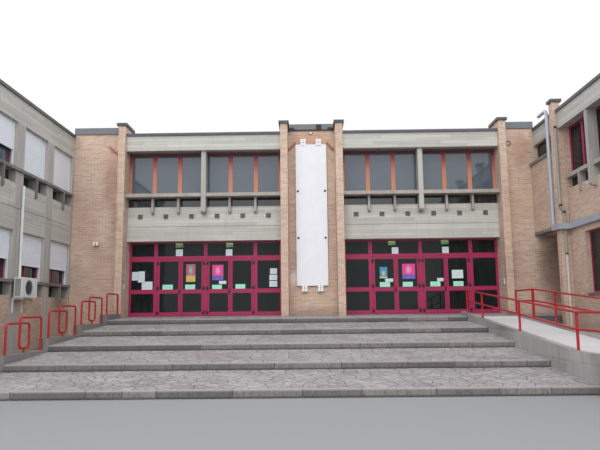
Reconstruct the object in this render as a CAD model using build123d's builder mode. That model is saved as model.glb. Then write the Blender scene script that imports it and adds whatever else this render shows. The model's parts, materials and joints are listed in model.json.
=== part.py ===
import os

from build123d import *

os.makedirs("parts", exist_ok=True)

# Two-storey school building in millimetres. X runs along the entrance front, Y into the building, Z up.
# The origin is on the ground, on the entrance axis, in the plane of the brick piers' faces.

# Entrance block, plan
module = 980
modules_per_bay = 6
pier_width = 270
pier_depth = 1000
recess_width = 1820
side_wall_setback = 300
building_back = 10500

# Wings, plan
left_court_face = -9100
right_pier_face = 8300
left_outer_face = -16850
right_outer_face = 16850
left_bays = 6
left_bay_pitch = 2250
left_window_width = 1750
left_first_window = 200
right_bays = 3
right_bay_modules = 4
right_panel = 120
right_first_pier = -1730
right_pier_depth = 560

# Levels
door_level = 1430
upper_floor_level = 4800
spandrel_bottom = 4265
spandrel_top = 5570
shelf_bottom = 5920
shelf_top = 6050
band_bottom = 7690
band_height = 580
pier_rise = 430
side_wall_rise = 130
recess_wall_rise = 380
left_band_drop = 190
left_lower_head = 4130
left_lower_sill = 2630
left_plinth_top = 2150
right_lower_head = 4000
right_lower_sill = 2050
porch_head = 4270
stair_light_height = 690

# Setbacks from the face of the piers
band_setback = 150
shelf_setback = 200
fin_setback = 250
spandrel_setback = 550
window_setback = 700
door_setback = 950
recess_setback = 950
bracket_setback = 400
right_shelf_setback = 260
right_fin_setback = 170
right_spandrel_setback = 340
right_window_setback = 490
porch_depth = 850

# Thicknesses
wall = 300
slab = 300
panel_thickness = 250
ledge_thickness = 90
frame_thickness = 60
frame_bar = 60
wide_mullion = 160
wide_jamb = 100
glass = 20
coping_height = 100
coping_overhang = 50
grey_coping_height = 250
recess_coping_height = 230
movement_joint = 20
coping_joint = 5

# Forecourt
riser = 150
tread_depth = 2390
tread_rise = 147
risers = 5
landing_front = -1500
steps_right = 5200
curb_upstand = 200
ramp_width = 1450
ramp_wall = 150
ramp_upstand = 100
ramp_level = 635
ramp_turn = -10000
ramp_rest = 1500
ramp_wall_end = -600

# Doors
jamb = 90
sidelight = 860
door_post = 150
middle_post = 136
leaf_thickness = 50
leaf_stile = 80
leaf_bottom_rail = 150
leaf_middle_rail = 160
middle_rail_height = 860
transom_bottom = 3610
transom_height = 110
head_height = 65
leaf_side_gap = 6
leaf_meeting_gap = 10
leaf_end_gap = 8
knuckle_radius = 12
knuckle_height = 50
knuckle_gap = 0.3
hinge_plate = 6
hinge_plate_width = 45
hinge_heights = (70, 1000, 1950)

# Sizes that follow
band_top = band_bottom + band_height
pier_top = band_top + pier_rise
side_wall_top = band_top + side_wall_rise
recess_wall_top = band_top + recess_wall_rise
left_band_bottom = band_bottom - left_band_drop
stair_light_sill = band_bottom - stair_light_height
coping_top = band_top + coping_height
recess_half = recess_width / 2
bay_inner = recess_half + pier_width
bay_outer = bay_inner + modules_per_bay * module
pier_outer = bay_outer + pier_width
step_left = -bay_outer
landing_top = risers * riser + (risers - 1) * tread_rise
floor_front = door_setback + 100
back_inner = building_back - wall
left_inner = left_outer_face + wall
right_inner = right_outer_face - wall
left_court_inner = left_court_face - 350
right_wall_face = right_pier_face + right_spandrel_setback
right_wall_inner = right_wall_face + wall
left_end = left_first_window - left_bays * left_bay_pitch
left_lower_ledge = left_lower_sill - ledge_thickness
left_upper_ledge = shelf_top - ledge_thickness
right_bay_width = right_bay_modules * module
right_first_window = right_first_pier - pier_width - right_panel
right_pitch = right_bay_width + pier_width
right_end = right_first_window - right_bays * right_pitch
porch_face = right_pier_face + porch_depth
porch_wall_inner = porch_face + wall
roof_level = band_bottom + slab
ramp_left = steps_right + ramp_wall
ramp_right = ramp_left + ramp_width
steps_front = landing_front - (risers - 1) * tread_depth
ramp_slope = (landing_top - ramp_level) / (landing_front - ramp_turn)
ramp_foot = ramp_turn - ramp_rest - ramp_level / ramp_slope

# Workplanes of the faces: local x along the face, local y up, normal outwards
entrance_face = Plane.XZ
right_court = Plane(origin=(right_pier_face, 0, 0), x_dir=(0, -1, 0), z_dir=(-1, 0, 0))
left_court = Plane(origin=(left_court_face, 0, 0), x_dir=(0, 1, 0), z_dir=(1, 0, 0))
left_outer = Plane(origin=(left_outer_face, 0, 0), x_dir=(0, -1, 0), z_dir=(-1, 0, 0))
right_outer = Plane(origin=(right_outer_face, 0, 0), x_dir=(0, 1, 0), z_dir=(1, 0, 0))
rear_face = Plane(origin=(0, building_back, 0), x_dir=(-1, 0, 0), z_dir=(0, 1, 0))

bay_spans = [(-bay_outer, -bay_inner), (bay_inner, bay_outer)]
pier_spans = [
    (-pier_outer, -bay_outer),
    (-bay_inner, -recess_half),
    (recess_half, bay_inner),
    (bay_outer, pier_outer),
]
right_windows = [
    (-right_first_window + bay * right_pitch, -right_first_window + bay * right_pitch + right_bay_width)
    for bay in range(right_bays)
]
right_piers = [(-right_first_pier, -right_first_pier + pier_width)]
right_piers += [(end, end + pier_width) for start, end in right_windows]
right_pier_backs = [porch_wall_inner] + [right_pier_face + right_pier_depth] * right_bays
right_pier_plans = [
    ((right_pier_face, -end), (back, -start)) for (start, end), back in zip(right_piers, right_pier_backs)
]
right_pier_heads = [((right_pier_face, -end), (right_pier_face + pier_width, -start)) for start, end in right_piers]
left_windows = [
    (left_first_window - bay * left_bay_pitch - left_window_width, left_first_window - bay * left_bay_pitch)
    for bay in range(left_bays)
]


# Rectangle between two corners of the sketch
def rectangle(low, high, mode=Mode.ADD):
    with Locations(((low[0] + high[0]) / 2, (low[1] + high[1]) / 2)):
        Rectangle(high[0] - low[0], high[1] - low[1], mode=mode)


# Flat plate behind a face: its outline is drawn on the face, set back, and goes inwards
def plate(face, setback, thickness, low, high, mode=Mode.ADD):
    with BuildSketch(face.offset(-setback)) as outline:
        rectangle(low, high)
    extrude(outline.sketch, amount=-thickness, mode=mode)


# Upright block on a plan rectangle
def block(low, high, bottom, top, mode=Mode.ADD):
    with BuildSketch(Plane.XY.offset(bottom)) as outline:
        rectangle(low, high)
    extrude(outline.sketch, amount=top - bottom, mode=mode)


# Level of the ramp's surface
def ramp_surface(y):
    if y > ramp_turn:
        return ramp_level + (y - ramp_turn) * ramp_slope
    if y > ramp_turn - ramp_rest:
        return ramp_level
    return ramp_level + (y - ramp_turn + ramp_rest) * ramp_slope


def save(piece, name):
    piece.part.label = name
    export_step(piece.part, f"parts/{name}.step")


# Forecourt: sloping treads, each behind its riser
with BuildPart() as entrance_steps:
    with BuildSketch(Plane.YZ.offset(step_left)):
        with BuildLine():
            outline = [(landing_front, 0), (steps_front, 0)]
            for step in range(risers - 1):
                front = steps_front + step * tread_depth
                level = (step + 1) * riser + step * tread_rise
                outline += [(front, level), (front + tread_depth, level + tread_rise)]
            Polyline(*outline, close=True)
        make_face()
    extrude(amount=steps_right - step_left)
save(entrance_steps, "entrance_steps")

# Landing and thresholds between the piers, cut by the slope that drains to the steps
with BuildPart() as landing:
    with BuildSketch(Plane.XY):
        rectangle((step_left, landing_front), (right_pier_face, 0))
        rectangle((-bay_outer, 0), (bay_outer, floor_front))
        rectangle((pier_outer, 0), (right_pier_face, side_wall_setback))
        rectangle((right_pier_face, right_first_pier), (porch_face, side_wall_setback))
        for low, high in pier_spans[1:3]:
            rectangle((low, 0), (high, floor_front), mode=Mode.SUBTRACT)
        rectangle((-recess_half, recess_setback), (recess_half, floor_front), mode=Mode.SUBTRACT)
        for left in (steps_right, ramp_right):
            rectangle((left, landing_front), (left + ramp_wall, ramp_wall_end), mode=Mode.SUBTRACT)
    extrude(amount=door_level + slab)
    fall = Plane(
        origin=(0, landing_front, landing_top),
        x_dir=(1, 0, 0),
        z_dir=(0, landing_top - door_level, floor_front - landing_front),
    )
    split(bisect_by=fall, keep=Keep.BOTTOM)
save(landing, "landing")

# Low stepped wall beside the steps
with BuildPart() as curb_wall:
    with BuildSketch(Plane.YZ.offset(-pier_outer)):
        with BuildLine():
            outline = [(0, 0), (steps_front, 0)]
            for step in range(risers):
                front = steps_front + step * tread_depth
                level = (step + 1) * riser + step * tread_rise + curb_upstand
                outline += [(front, level), (min(front + tread_depth, 0), level)]
            Polyline(*outline, close=True)
        make_face()
    extrude(amount=pier_width)
save(curb_wall, "curb_wall")

# Red tubular hoops on the low wall: in each pair one bent tube, low in front and higher behind
hoop_radius = 28
hoop_length = 1220
hoop_bend = 110
low_hoop = 720
high_hoop = 860
low_hoop_start = 230
high_hoop_start = 1070
hoop_offset = 32
hoop_turn = 110
with BuildPart() as curb_hoops:
    for step in range(risers):
        section_front = steps_front + step * tread_depth
        base = (step + 1) * riser + step * tread_rise + curb_upstand
        centre = -bay_outer - pier_width / 2
        low_front = section_front + low_hoop_start
        low_back = low_front + hoop_length
        high_front = section_front + high_hoop_start
        high_back = high_front + hoop_length
        points = [
            (centre + hoop_offset, low_front, base),
            (centre + hoop_offset, low_front, base + low_hoop),
            (centre + hoop_offset, low_back, base + low_hoop),
        ]
        if section_front + tread_depth > 0:
            points.append((centre + hoop_offset, low_back, base))
        else:
            points += [
                (centre + hoop_offset, low_back, base + hoop_turn),
                (centre - hoop_offset, high_front, base + hoop_turn),
                (centre - hoop_offset, high_front, base + high_hoop),
                (centre - hoop_offset, high_back, base + high_hoop),
                (centre - hoop_offset, high_back, base),
            ]
        with BuildLine() as hoop_path:
            FilletPolyline(*points, radius=hoop_bend)
        with BuildSketch(Plane(origin=points[0], z_dir=(0, 0, 1))):
            Circle(hoop_radius)
        sweep(path=hoop_path.line)
save(curb_hoops, "curb_hoops")

# Ramp: a long flight, a level rest and a second flight down to the ground
ramp_profile = [
    (landing_front, 0),
    (ramp_foot, 0),
    (ramp_turn - ramp_rest, ramp_level),
    (ramp_turn, ramp_level),
    (landing_front, landing_top),
]
with BuildPart() as ramp:
    with BuildSketch(Plane.YZ.offset(ramp_left)):
        with BuildLine():
            Polyline(*ramp_profile, close=True)
        make_face()
    extrude(amount=ramp_width)
save(ramp, "ramp")

ramp_wall_profile = [(y, z + ramp_upstand) for y, z in ramp_profile[1:-1]]
ramp_wall_profile.append((ramp_wall_end, ramp_surface(ramp_wall_end) + ramp_upstand))
with BuildPart() as ramp_walls:
    for left in (steps_right, ramp_right):
        with BuildSketch(Plane.YZ.offset(left)):
            with BuildLine():
                Polyline((ramp_wall_end, 0), (ramp_foot, 0), *ramp_wall_profile, close=True)
            make_face()
        extrude(amount=ramp_wall)
save(ramp_walls, "ramp_walls")

# Red tubular handrails with two rails, on the two side walls of the ramp
post_radius = 30
rail_radius = 26
rail_bend = 600
inner_rail_height = 770
outer_rail_height = 880
rail_spacing = 350
post_spacing = 2850
level_rail_height = 740
rail_foot = ramp_foot + 2 * post_radius
rail_turns = [ramp_turn, ramp_turn - ramp_rest, rail_foot]
inner_posts = [-1220, -3080, -6530]
outer_posts = [-3120, -4850, -8000]
level_posts = [-1450, -3040]


# Top of the ramp's side walls
def wall_level(y):
    return ramp_surface(y) + ramp_upstand


# Posts and two rails: posts stand on the wall, the rails pass through the points given as place and level
def handrail(centre, posts, points):
    for y, top in posts:
        base = max(wall_level(y - post_radius), wall_level(y + post_radius))
        with BuildSketch(Plane(origin=(centre, y, base), z_dir=(0, 0, 1))) as outline:
            Circle(post_radius)
        extrude(outline.sketch, amount=top - base)
    for drop in (0, rail_spacing):
        corners = [(centre, y, level - drop) for y, level in points]
        with BuildLine() as rail_path:
            if len(corners) > 2:
                FilletPolyline(*corners, radius=rail_bend)
            else:
                Line(*corners)
        with BuildSketch(Plane(origin=corners[0], z_dir=rail_path.line % 0)) as outline:
            Circle(rail_radius)
        sweep(outline.sketch, path=rail_path.line)


foot_spans = round((rail_turns[1] - rail_foot) / post_spacing)
foot_posts = [rail_turns[1] + (rail_foot - rail_turns[1]) * place / foot_spans for place in range(foot_spans + 1)]
with BuildPart() as ramp_handrails:
    for left, posts, height in (
        (steps_right, inner_posts, inner_rail_height),
        (ramp_right, outer_posts, outer_rail_height),
    ):
        places = posts + [ramp_turn] + foot_posts
        corners = [posts[0]] + rail_turns
        handrail(
            left + ramp_wall / 2,
            [(y, wall_level(y) + height) for y in places],
            [(y, wall_level(y) + height) for y in corners],
        )
    level = wall_level(level_posts[0]) + level_rail_height
    level_run = [(y, level) for y in level_posts]
    handrail(ramp_right + ramp_wall / 2, level_run, level_run)
save(ramp_handrails, "ramp_handrails")

# Brick piers of the entrance block and of the right wing, whose piers are shallow above the roof edge
pier_plans = [((low, 0), (high, pier_depth)) for low, high in pier_spans]
with BuildPart() as brick_piers:
    with BuildSketch(Plane.XY):
        for low, high in pier_plans + right_pier_heads:
            rectangle(low, high)
    extrude(amount=pier_top)
    with BuildSketch(Plane.XY):
        for low, high in right_pier_plans:
            rectangle(low, high)
    extrude(amount=coping_top)
save(brick_piers, "brick_piers")

# Folded metal caps on the piers
cap_overhang = 60
cap_skirt = 50
cap_thickness = 50
with BuildPart() as pier_caps:
    with BuildSketch(Plane.XY.offset(pier_top - cap_skirt)):
        for low, high in pier_plans + right_pier_heads:
            rectangle(
                (low[0] - cap_overhang, low[1] - cap_overhang),
                (high[0] + cap_overhang, high[1] + cap_overhang),
            )
    extrude(amount=cap_skirt + cap_thickness)
    with BuildSketch(Plane.XY):
        for low, high in pier_plans + right_pier_heads:
            rectangle(low, high)
    extrude(amount=pier_top, mode=Mode.SUBTRACT)
save(pier_caps, "pier_caps")

# Brick side walls between the outer piers and the wings
side_wall_back = side_wall_setback + wall
with BuildPart() as side_walls:
    block((left_court_face, side_wall_setback), (-pier_outer, side_wall_back), 0, side_wall_top)
    block((pier_outer, side_wall_setback), (porch_wall_inner, side_wall_back), 0, side_wall_top)
save(side_walls, "side_walls")

# Recess wall in the middle, behind the two inner piers
with BuildPart() as recess_wall:
    block((-recess_half, recess_setback), (recess_half, recess_setback + wall), 0, recess_wall_top)
save(recess_wall, "recess_wall")

# Tall white panel hung in the recess on four clamps
panel_centre = -20
panel_width = 1200
panel_bottom = 2530
panel_top = recess_wall_top - 610
panel_sheet = 30
panel_standoff = 70
clamp_width = 210
clamp_height = 270
clamp_lap = 50
clamp_spacing = 600
clamp_cheek = 15
panel_face = recess_setback - panel_standoff - panel_sheet
with BuildPart() as wall_panel:
    plate(
        entrance_face,
        panel_face,
        panel_sheet,
        (panel_centre - panel_width / 2, panel_bottom),
        (panel_centre + panel_width / 2, panel_top),
    )
save(wall_panel, "wall_panel")

with BuildPart() as panel_clamps:
    for place in (-clamp_spacing / 2, clamp_spacing / 2):
        for edge, outwards in ((panel_bottom, -1), (panel_top, 1)):
            levels = sorted((edge - outwards * clamp_lap, edge + outwards * (clamp_height - clamp_lap)))
            low = (panel_centre + place - clamp_width / 2, levels[0])
            high = (panel_centre + place + clamp_width / 2, levels[1])
            plate(entrance_face, panel_face - clamp_cheek, recess_setback - panel_face + clamp_cheek, low, high)
    plate(
        entrance_face,
        panel_face,
        panel_sheet,
        (panel_centre - panel_width / 2, panel_bottom),
        (panel_centre + panel_width / 2, panel_top),
        mode=Mode.SUBTRACT,
    )
save(panel_clamps, "panel_clamps")

# Concrete bands under the roof edge
with BuildPart() as top_bands:
    for low, high in bay_spans:
        plate(entrance_face, band_setback, wall, (low, band_bottom), (high, band_top))
    plate(right_court, band_setback, wall, (-side_wall_setback, band_bottom), (right_piers[0][0], band_top))
    for (_, start), (end, _) in zip(right_piers, right_piers[1:]):
        plate(right_court, band_setback, wall, (start, band_bottom), (end, band_top))
save(top_bands, "top_bands")

# Copings of the entrance block: dark on the bands, grey on the side walls and the recess wall
with BuildPart() as entrance_copings:
    for low, high in bay_spans:
        plate(
            entrance_face,
            band_setback - coping_overhang,
            wall + 2 * coping_overhang,
            (low, band_top),
            (high, coping_top),
        )
    plate(
        entrance_face,
        recess_setback - coping_overhang,
        wall + 2 * coping_overhang,
        (-recess_half, recess_wall_top),
        (recess_half, recess_wall_top + recess_coping_height),
    )
    for low, high in ((left_court_face, -pier_outer), (pier_outer, right_pier_face + band_setback)):
        plate(
            entrance_face,
            side_wall_setback - coping_overhang,
            wall + 2 * coping_overhang,
            (low, side_wall_top),
            (high, side_wall_top + grey_coping_height),
        )
    for low, high in pier_spans:
        block(
            (low - cap_overhang, -cap_overhang),
            (high + cap_overhang, pier_depth + cap_overhang),
            pier_top - cap_skirt,
            pier_top + cap_thickness,
            mode=Mode.SUBTRACT,
        )
save(entrance_copings, "entrance_copings")

# Spandrels between the storeys, with a board joint and a row of square vents, and a beam for the floor
vent_width = 190
vent_height = 190
vent_depth = 120
vent_bottom = 5110
joint_line = 20
with BuildPart() as entrance_spandrels:
    for low, high in bay_spans:
        plate(entrance_face, spandrel_setback, panel_thickness, (low, spandrel_bottom), (high, spandrel_top))
        plate(
            entrance_face,
            spandrel_setback,
            floor_front - spandrel_setback,
            (low, spandrel_bottom),
            (high, upper_floor_level),
        )
        plate(
            entrance_face,
            spandrel_setback,
            joint_line,
            (low, upper_floor_level),
            (high, upper_floor_level + joint_line),
            mode=Mode.SUBTRACT,
        )
        with BuildSketch(entrance_face.offset(-spandrel_setback)):
            with Locations(((low + high) / 2, vent_bottom + vent_height / 2)):
                with GridLocations(module, 1, modules_per_bay, 1):
                    Rectangle(vent_width, vent_height)
        extrude(amount=-vent_depth, mode=Mode.SUBTRACT)
save(entrance_spandrels, "entrance_spandrels")

# Sill shelves on tapered brackets, on each side of the fins
bracket_width = 85
bracket_bottom = 5300
bracket_nose = 60
fin_width = 180
fin_edge = fin_width / 2


# Side outline of a bracket or fin as (setback, level): setbacks of its front, of the wall and of the window
def side_outline(setbacks, bottom, base, top):
    front, face, window = setbacks
    return [
        (front, top),
        (front, bottom + bracket_nose),
        (front + bracket_nose, bottom),
        (face, bottom),
        (face, base),
        (window, base),
        (window, top),
    ]


# Extrudes a side outline along the face, centred on one place of it
def cross_piece(face, place, width, outline_points):
    start = face.from_local_coords((place - width / 2, 0, 0))
    with BuildSketch(Plane(origin=start, x_dir=-face.z_dir, z_dir=face.x_dir)) as outline:
        with BuildLine():
            Polyline(*outline_points, close=True)
        make_face()
    extrude(outline.sketch, amount=width)


entrance_shelf_setbacks = (bracket_setback, spandrel_setback, window_setback)
entrance_fin_setbacks = (fin_setback, spandrel_setback, window_setback)
right_shelf_setbacks = (right_shelf_setback, right_spandrel_setback, right_window_setback)
right_fin_setbacks = (right_fin_setback, right_spandrel_setback, right_window_setback)


def shelf(face, front, setbacks, start, end, brackets):
    depth = setbacks[2] + frame_thickness - front
    plate(face, front, depth, (start, shelf_bottom), (end, shelf_top))
    for place in brackets:
        cross_piece(face, place, bracket_width, side_outline(setbacks, bracket_bottom, spandrel_top, shelf_bottom))


with BuildPart() as sill_shelves:
    for low, high in bay_spans:
        middle = (low + high) / 2
        for start, end, side in ((low, middle - fin_edge, -1), (middle + fin_edge, high, 1)):
            places = [middle + side * module, middle + side * 2 * module]
            shelf(entrance_face, shelf_setback, entrance_shelf_setbacks, start, end, places)
    for low, high in right_windows:
        middle = (low + high) / 2
        for start, end, side in ((low, middle - fin_edge, -1), (middle + fin_edge, high, 1)):
            places = [middle + side * module]
            shelf(right_court, right_shelf_setback, right_shelf_setbacks, start, end, places)
save(sill_shelves, "sill_shelves")

with BuildPart() as concrete_fins:
    for face, setbacks, spans in (
        (entrance_face, entrance_fin_setbacks, bay_spans),
        (right_court, right_fin_setbacks, right_windows),
    ):
        for low, high in spans:
            outline_points = side_outline(setbacks, bracket_bottom, spandrel_top, band_bottom)
            cross_piece(face, (low + high) / 2, fin_width, outline_points)
save(concrete_fins, "concrete_fins")


# Window frame with lights at an even pitch; its bars are the side bar and the bar between lights
def window_frame(face, setback, low, high, lights, bars=(frame_bar, frame_bar)):
    plate(face, setback, frame_thickness, low, high)
    for left, right in light_spans(low[0], high[0], lights, bars):
        plate(face, setback, frame_thickness, (left, low[1] + frame_bar), (right, high[1] - frame_bar), Mode.SUBTRACT)


def light_spans(low, high, lights, bars):
    pitch = (high - low) / lights
    edges = [low + place * pitch for place in range(lights + 1)]
    starts = [low + bars[0]] + [edge + bars[1] / 2 for edge in edges[1:-1]]
    ends = [edge - bars[1] / 2 for edge in edges[1:-1]] + [high - bars[0]]
    return list(zip(starts, ends))


# Panes in the middle of a frame's thickness
def window_panes(face, setback, low, high, lights, bars=(frame_bar, frame_bar)):
    pane_setback = setback + (frame_thickness - glass) / 2
    for left, right in light_spans(low[0], high[0], lights, bars):
        plate(face, pane_setback, glass, (left, low[1] + frame_bar), (right, high[1] - frame_bar))


wide_bars = (wide_jamb, wide_mullion)
with BuildPart() as upper_window_frames:
    for low, high in bay_spans:
        corners = ((low, shelf_top), (high, band_bottom))
        window_frame(entrance_face, window_setback, *corners, modules_per_bay, wide_bars)
save(upper_window_frames, "upper_window_frames")

with BuildPart() as upper_window_glass:
    for low, high in bay_spans:
        corners = ((low, shelf_top), (high, band_bottom))
        window_panes(entrance_face, window_setback, *corners, modules_per_bay, wide_bars)
        plate(entrance_face, window_setback, glass, (low, spandrel_top), (high, shelf_bottom))
save(upper_window_glass, "upper_window_glass")

# Entrance screens: posts, transom, head and side lights, with the fixed halves of the hinges
pair_width = (modules_per_bay * module - 2 * (jamb + sidelight + door_post) - middle_post) / 2
leaf_width = (pair_width - 2 * leaf_side_gap - leaf_meeting_gap) / 2
leaf_bottom = door_level + leaf_end_gap
leaf_top = transom_bottom - leaf_end_gap
light_head = leaf_top - leaf_stile
transom_top = transom_bottom + transom_height
middle_rail_bottom = door_level + middle_rail_height
middle_rail_top = middle_rail_bottom + leaf_middle_rail
light_top = spandrel_bottom - head_height
hinge_line = door_setback - knuckle_radius


# Places across one bay, from its left edge
def screen_places(left):
    first_pair = left + jamb + sidelight + door_post
    second_pair = first_pair + pair_width + middle_post
    return first_pair, second_pair


# Door openings of one bay
def doorways(left):
    return [(start, start + pair_width) for start in screen_places(left)]


# Side lights and transom lights of one bay, as corner pairs
def fixed_lights(left, right):
    lights = []
    for start in (left + jamb, right - jamb - sidelight):
        lights.append(((start, door_level + leaf_bottom_rail), (start + sidelight, middle_rail_bottom)))
        lights.append(((start, middle_rail_top), (start + sidelight, light_head)))
        lights.append(((start, transom_top), (start + sidelight, light_top)))
    for start, end in doorways(left):
        lights.append(((start, transom_top), (end, light_top)))
    return lights


# Each leaf: hinge place, and 1 where it reaches to the right of its hinge or -1 to the left
leaves = []
for low, high in bay_spans:
    for start, end in doorways(low):
        leaves.append((start + leaf_side_gap / 2, 1))
        leaves.append((end - leaf_side_gap / 2, -1))


# One half of a hinge: a knuckle and its plate, to the side given
def hinge_half(place, bottom, side):
    with BuildSketch(Plane.XY.offset(bottom)) as outline:
        with Locations((place, hinge_line)):
            Circle(knuckle_radius)
        edges = sorted((place, place + side * hinge_plate_width))
        rectangle((edges[0], door_setback - hinge_plate), (edges[1], door_setback))
    extrude(outline.sketch, amount=knuckle_height)


def entrance_screen(low, high):
    plate(entrance_face, door_setback, frame_thickness, (low, door_level), (high, spandrel_bottom))
    for start, end in doorways(low):
        plate(entrance_face, door_setback, frame_thickness, (start, door_level), (end, transom_bottom), Mode.SUBTRACT)
    for corner, opposite in fixed_lights(low, high):
        plate(entrance_face, door_setback, frame_thickness, corner, opposite, Mode.SUBTRACT)
    for place, side in leaves:
        if low < place < high:
            for height in hinge_heights:
                hinge_half(place, door_level + height, -side)


with BuildPart() as left_entrance_frame:
    entrance_screen(*bay_spans[0])
save(left_entrance_frame, "left_entrance_frame")

with BuildPart() as right_entrance_frame:
    entrance_screen(*bay_spans[1])
save(right_entrance_frame, "right_entrance_frame")

pane_setback = door_setback + (leaf_thickness - glass) / 2
with BuildPart() as entrance_glass:
    for low, high in bay_spans:
        for corner, opposite in fixed_lights(low, high):
            plate(entrance_face, pane_setback, glass, corner, opposite)
save(entrance_glass, "entrance_glass")

# Glazed door leaves
for number, (place, side) in enumerate(leaves, start=1):
    near = place + side * leaf_side_gap / 2
    far = near + side * leaf_width
    leaf_low, leaf_high = sorted((near, far))
    panes = [
        ((leaf_low + leaf_stile, leaf_bottom + leaf_bottom_rail), (leaf_high - leaf_stile, middle_rail_bottom)),
        ((leaf_low + leaf_stile, middle_rail_top), (leaf_high - leaf_stile, light_head)),
    ]
    with BuildPart() as door_leaf:
        plate(entrance_face, door_setback, leaf_thickness, (leaf_low, leaf_bottom), (leaf_high, leaf_top))
        for corner, opposite in panes:
            plate(entrance_face, door_setback, leaf_thickness, corner, opposite, Mode.SUBTRACT)
        for height in hinge_heights:
            hinge_half(place, door_level + height + knuckle_height + knuckle_gap, side)
    save(door_leaf, f"door_leaf_{number}")
    with BuildPart() as door_glass:
        for corner, opposite in panes:
            plate(entrance_face, pane_setback, glass, corner, opposite)
    save(door_glass, f"door_glass_{number}")


# Floors and roof: middle block and two wings with movement joints between them
def middle_slab(bottom, front):
    with BuildSketch(Plane.XY.offset(bottom)) as outline:
        rectangle((left_court_inner + movement_joint, floor_front), (porch_face, back_inner))
        rectangle((left_court_inner + movement_joint, side_wall_back), (-pier_outer, floor_front))
        rectangle((pier_outer, side_wall_back), (porch_face, floor_front))
        for low, high in bay_spans:
            rectangle((low, front), (high, floor_front))
        rectangle((-recess_half, recess_setback), (recess_half, recess_setback + wall), mode=Mode.SUBTRACT)
    extrude(outline.sketch, amount=slab)


def wing_floors(bottom):
    porch_end = right_first_pier - pier_width
    block((left_inner, left_end), (left_court_inner, back_inner), bottom, bottom + slab)
    with BuildSketch(Plane.XY.offset(bottom)) as outline:
        rectangle((right_wall_inner + movement_joint, right_end), (right_inner, porch_end))
        rectangle((porch_wall_inner, porch_end), (right_inner, side_wall_back))
        rectangle((porch_face + movement_joint, side_wall_back), (right_inner, back_inner))
    extrude(outline.sketch, amount=slab)


with BuildPart() as ground_floor:
    middle_slab(door_level - slab, floor_front)
    wing_floors(door_level - slab)
save(ground_floor, "ground_floor")

with BuildPart() as upper_floor:
    middle_slab(upper_floor_level - slab, floor_front)
    wing_floors(upper_floor_level - slab)
save(upper_floor, "upper_floor")

with BuildPart() as roof_slabs:
    middle_slab(band_bottom, band_setback + wall)
    block((left_inner, left_end), (left_court_inner, back_inner), band_bottom, roof_level)
    block((left_court_inner, left_end), (left_court_face - wall, side_wall_setback), band_bottom, roof_level)
    with BuildSketch(Plane.XY.offset(band_bottom)):
        rectangle((porch_face + movement_joint, right_end), (right_inner, back_inner))
        rectangle(
            (right_pier_face + band_setback + wall, right_end + pier_width),
            (porch_face + movement_joint, side_wall_setback),
        )
        for low, high in right_pier_plans:
            rectangle(low, high, mode=Mode.SUBTRACT)
        rectangle((porch_face, side_wall_setback), (porch_wall_inner, side_wall_back), mode=Mode.SUBTRACT)
    extrude(amount=slab)
save(roof_slabs, "roof_slabs")

# Left wing: concrete pilasters with brick, panels and windows between them
pilaster_depth = left_court_face - left_court_inner
left_pilasters = [(left_first_window, side_wall_back)]
left_pilasters += [(start - left_bay_pitch + left_window_width, start) for start, end in left_windows]


# Groove of the board joint at the upper floor
def floor_joint(low, high):
    corners = ((low, upper_floor_level), (high, upper_floor_level + joint_line))
    plate(left_court, 0, joint_line, *corners, Mode.SUBTRACT)


with BuildPart() as left_wing_pilasters:
    for low, high in left_pilasters:
        plate(left_court, 0, pilaster_depth, (low, 0), (high, left_band_bottom))
        floor_joint(low, high)
save(left_wing_pilasters, "left_wing_pilasters")

with BuildPart() as left_wing_plinth:
    for low, high in left_windows:
        plate(left_court, 0, wall, (low, 0), (high, left_plinth_top))
save(left_wing_plinth, "left_wing_plinth")

with BuildPart() as left_wing_panels:
    for low, high in left_windows:
        plate(left_court, 0, wall, (low, left_lower_head), (high, spandrel_top))
        floor_joint(low, high)
    plate(left_court, 0, wall, (left_end, left_band_bottom), (side_wall_back, band_top))
save(left_wing_panels, "left_wing_panels")

# Sill ledges that run past the pilasters, each on a bracket in the middle of the window
ledge_overhang = 70
ledge_bracket_width = 80
lower_bracket_bottom = 2000
left_window_setback = 240
with BuildPart() as left_wing_ledges:
    for bottom, base, foot in (
        (left_upper_ledge, spandrel_top, bracket_bottom),
        (left_lower_ledge, left_plinth_top, lower_bracket_bottom),
    ):
        with BuildSketch(Plane.XY.offset(bottom)):
            rectangle(
                (left_court_face - left_window_setback - frame_thickness, left_end),
                (left_court_face + ledge_overhang, left_first_window),
            )
            for low, high in left_pilasters[1:]:
                rectangle((left_court_inner, low), (left_court_face, high), mode=Mode.SUBTRACT)
        extrude(amount=ledge_thickness)
        outline_points = side_outline((-ledge_overhang, 0, left_window_setback), foot, base, bottom)
        for low, high in left_windows:
            cross_piece(left_court, (low + high) / 2, ledge_bracket_width, outline_points)
save(left_wing_ledges, "left_wing_ledges")

left_storeys = [(left_lower_sill, left_lower_head), (shelf_top, left_band_bottom)]
with BuildPart() as left_wing_frames:
    for low, high in left_windows:
        for sill, head in left_storeys:
            window_frame(left_court, left_window_setback, (low, sill), (high, head), 2)
save(left_wing_frames, "left_wing_frames")

with BuildPart() as left_wing_glass:
    for low, high in left_windows:
        for sill, head in left_storeys:
            window_panes(left_court, left_window_setback, (low, sill), (high, head), 2)
        for bottom, base in ((left_upper_ledge, spandrel_top), (left_lower_ledge, left_plinth_top)):
            plate(left_court, left_window_setback, glass, (low, base), (high, bottom))
save(left_wing_glass, "left_wing_glass")

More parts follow.
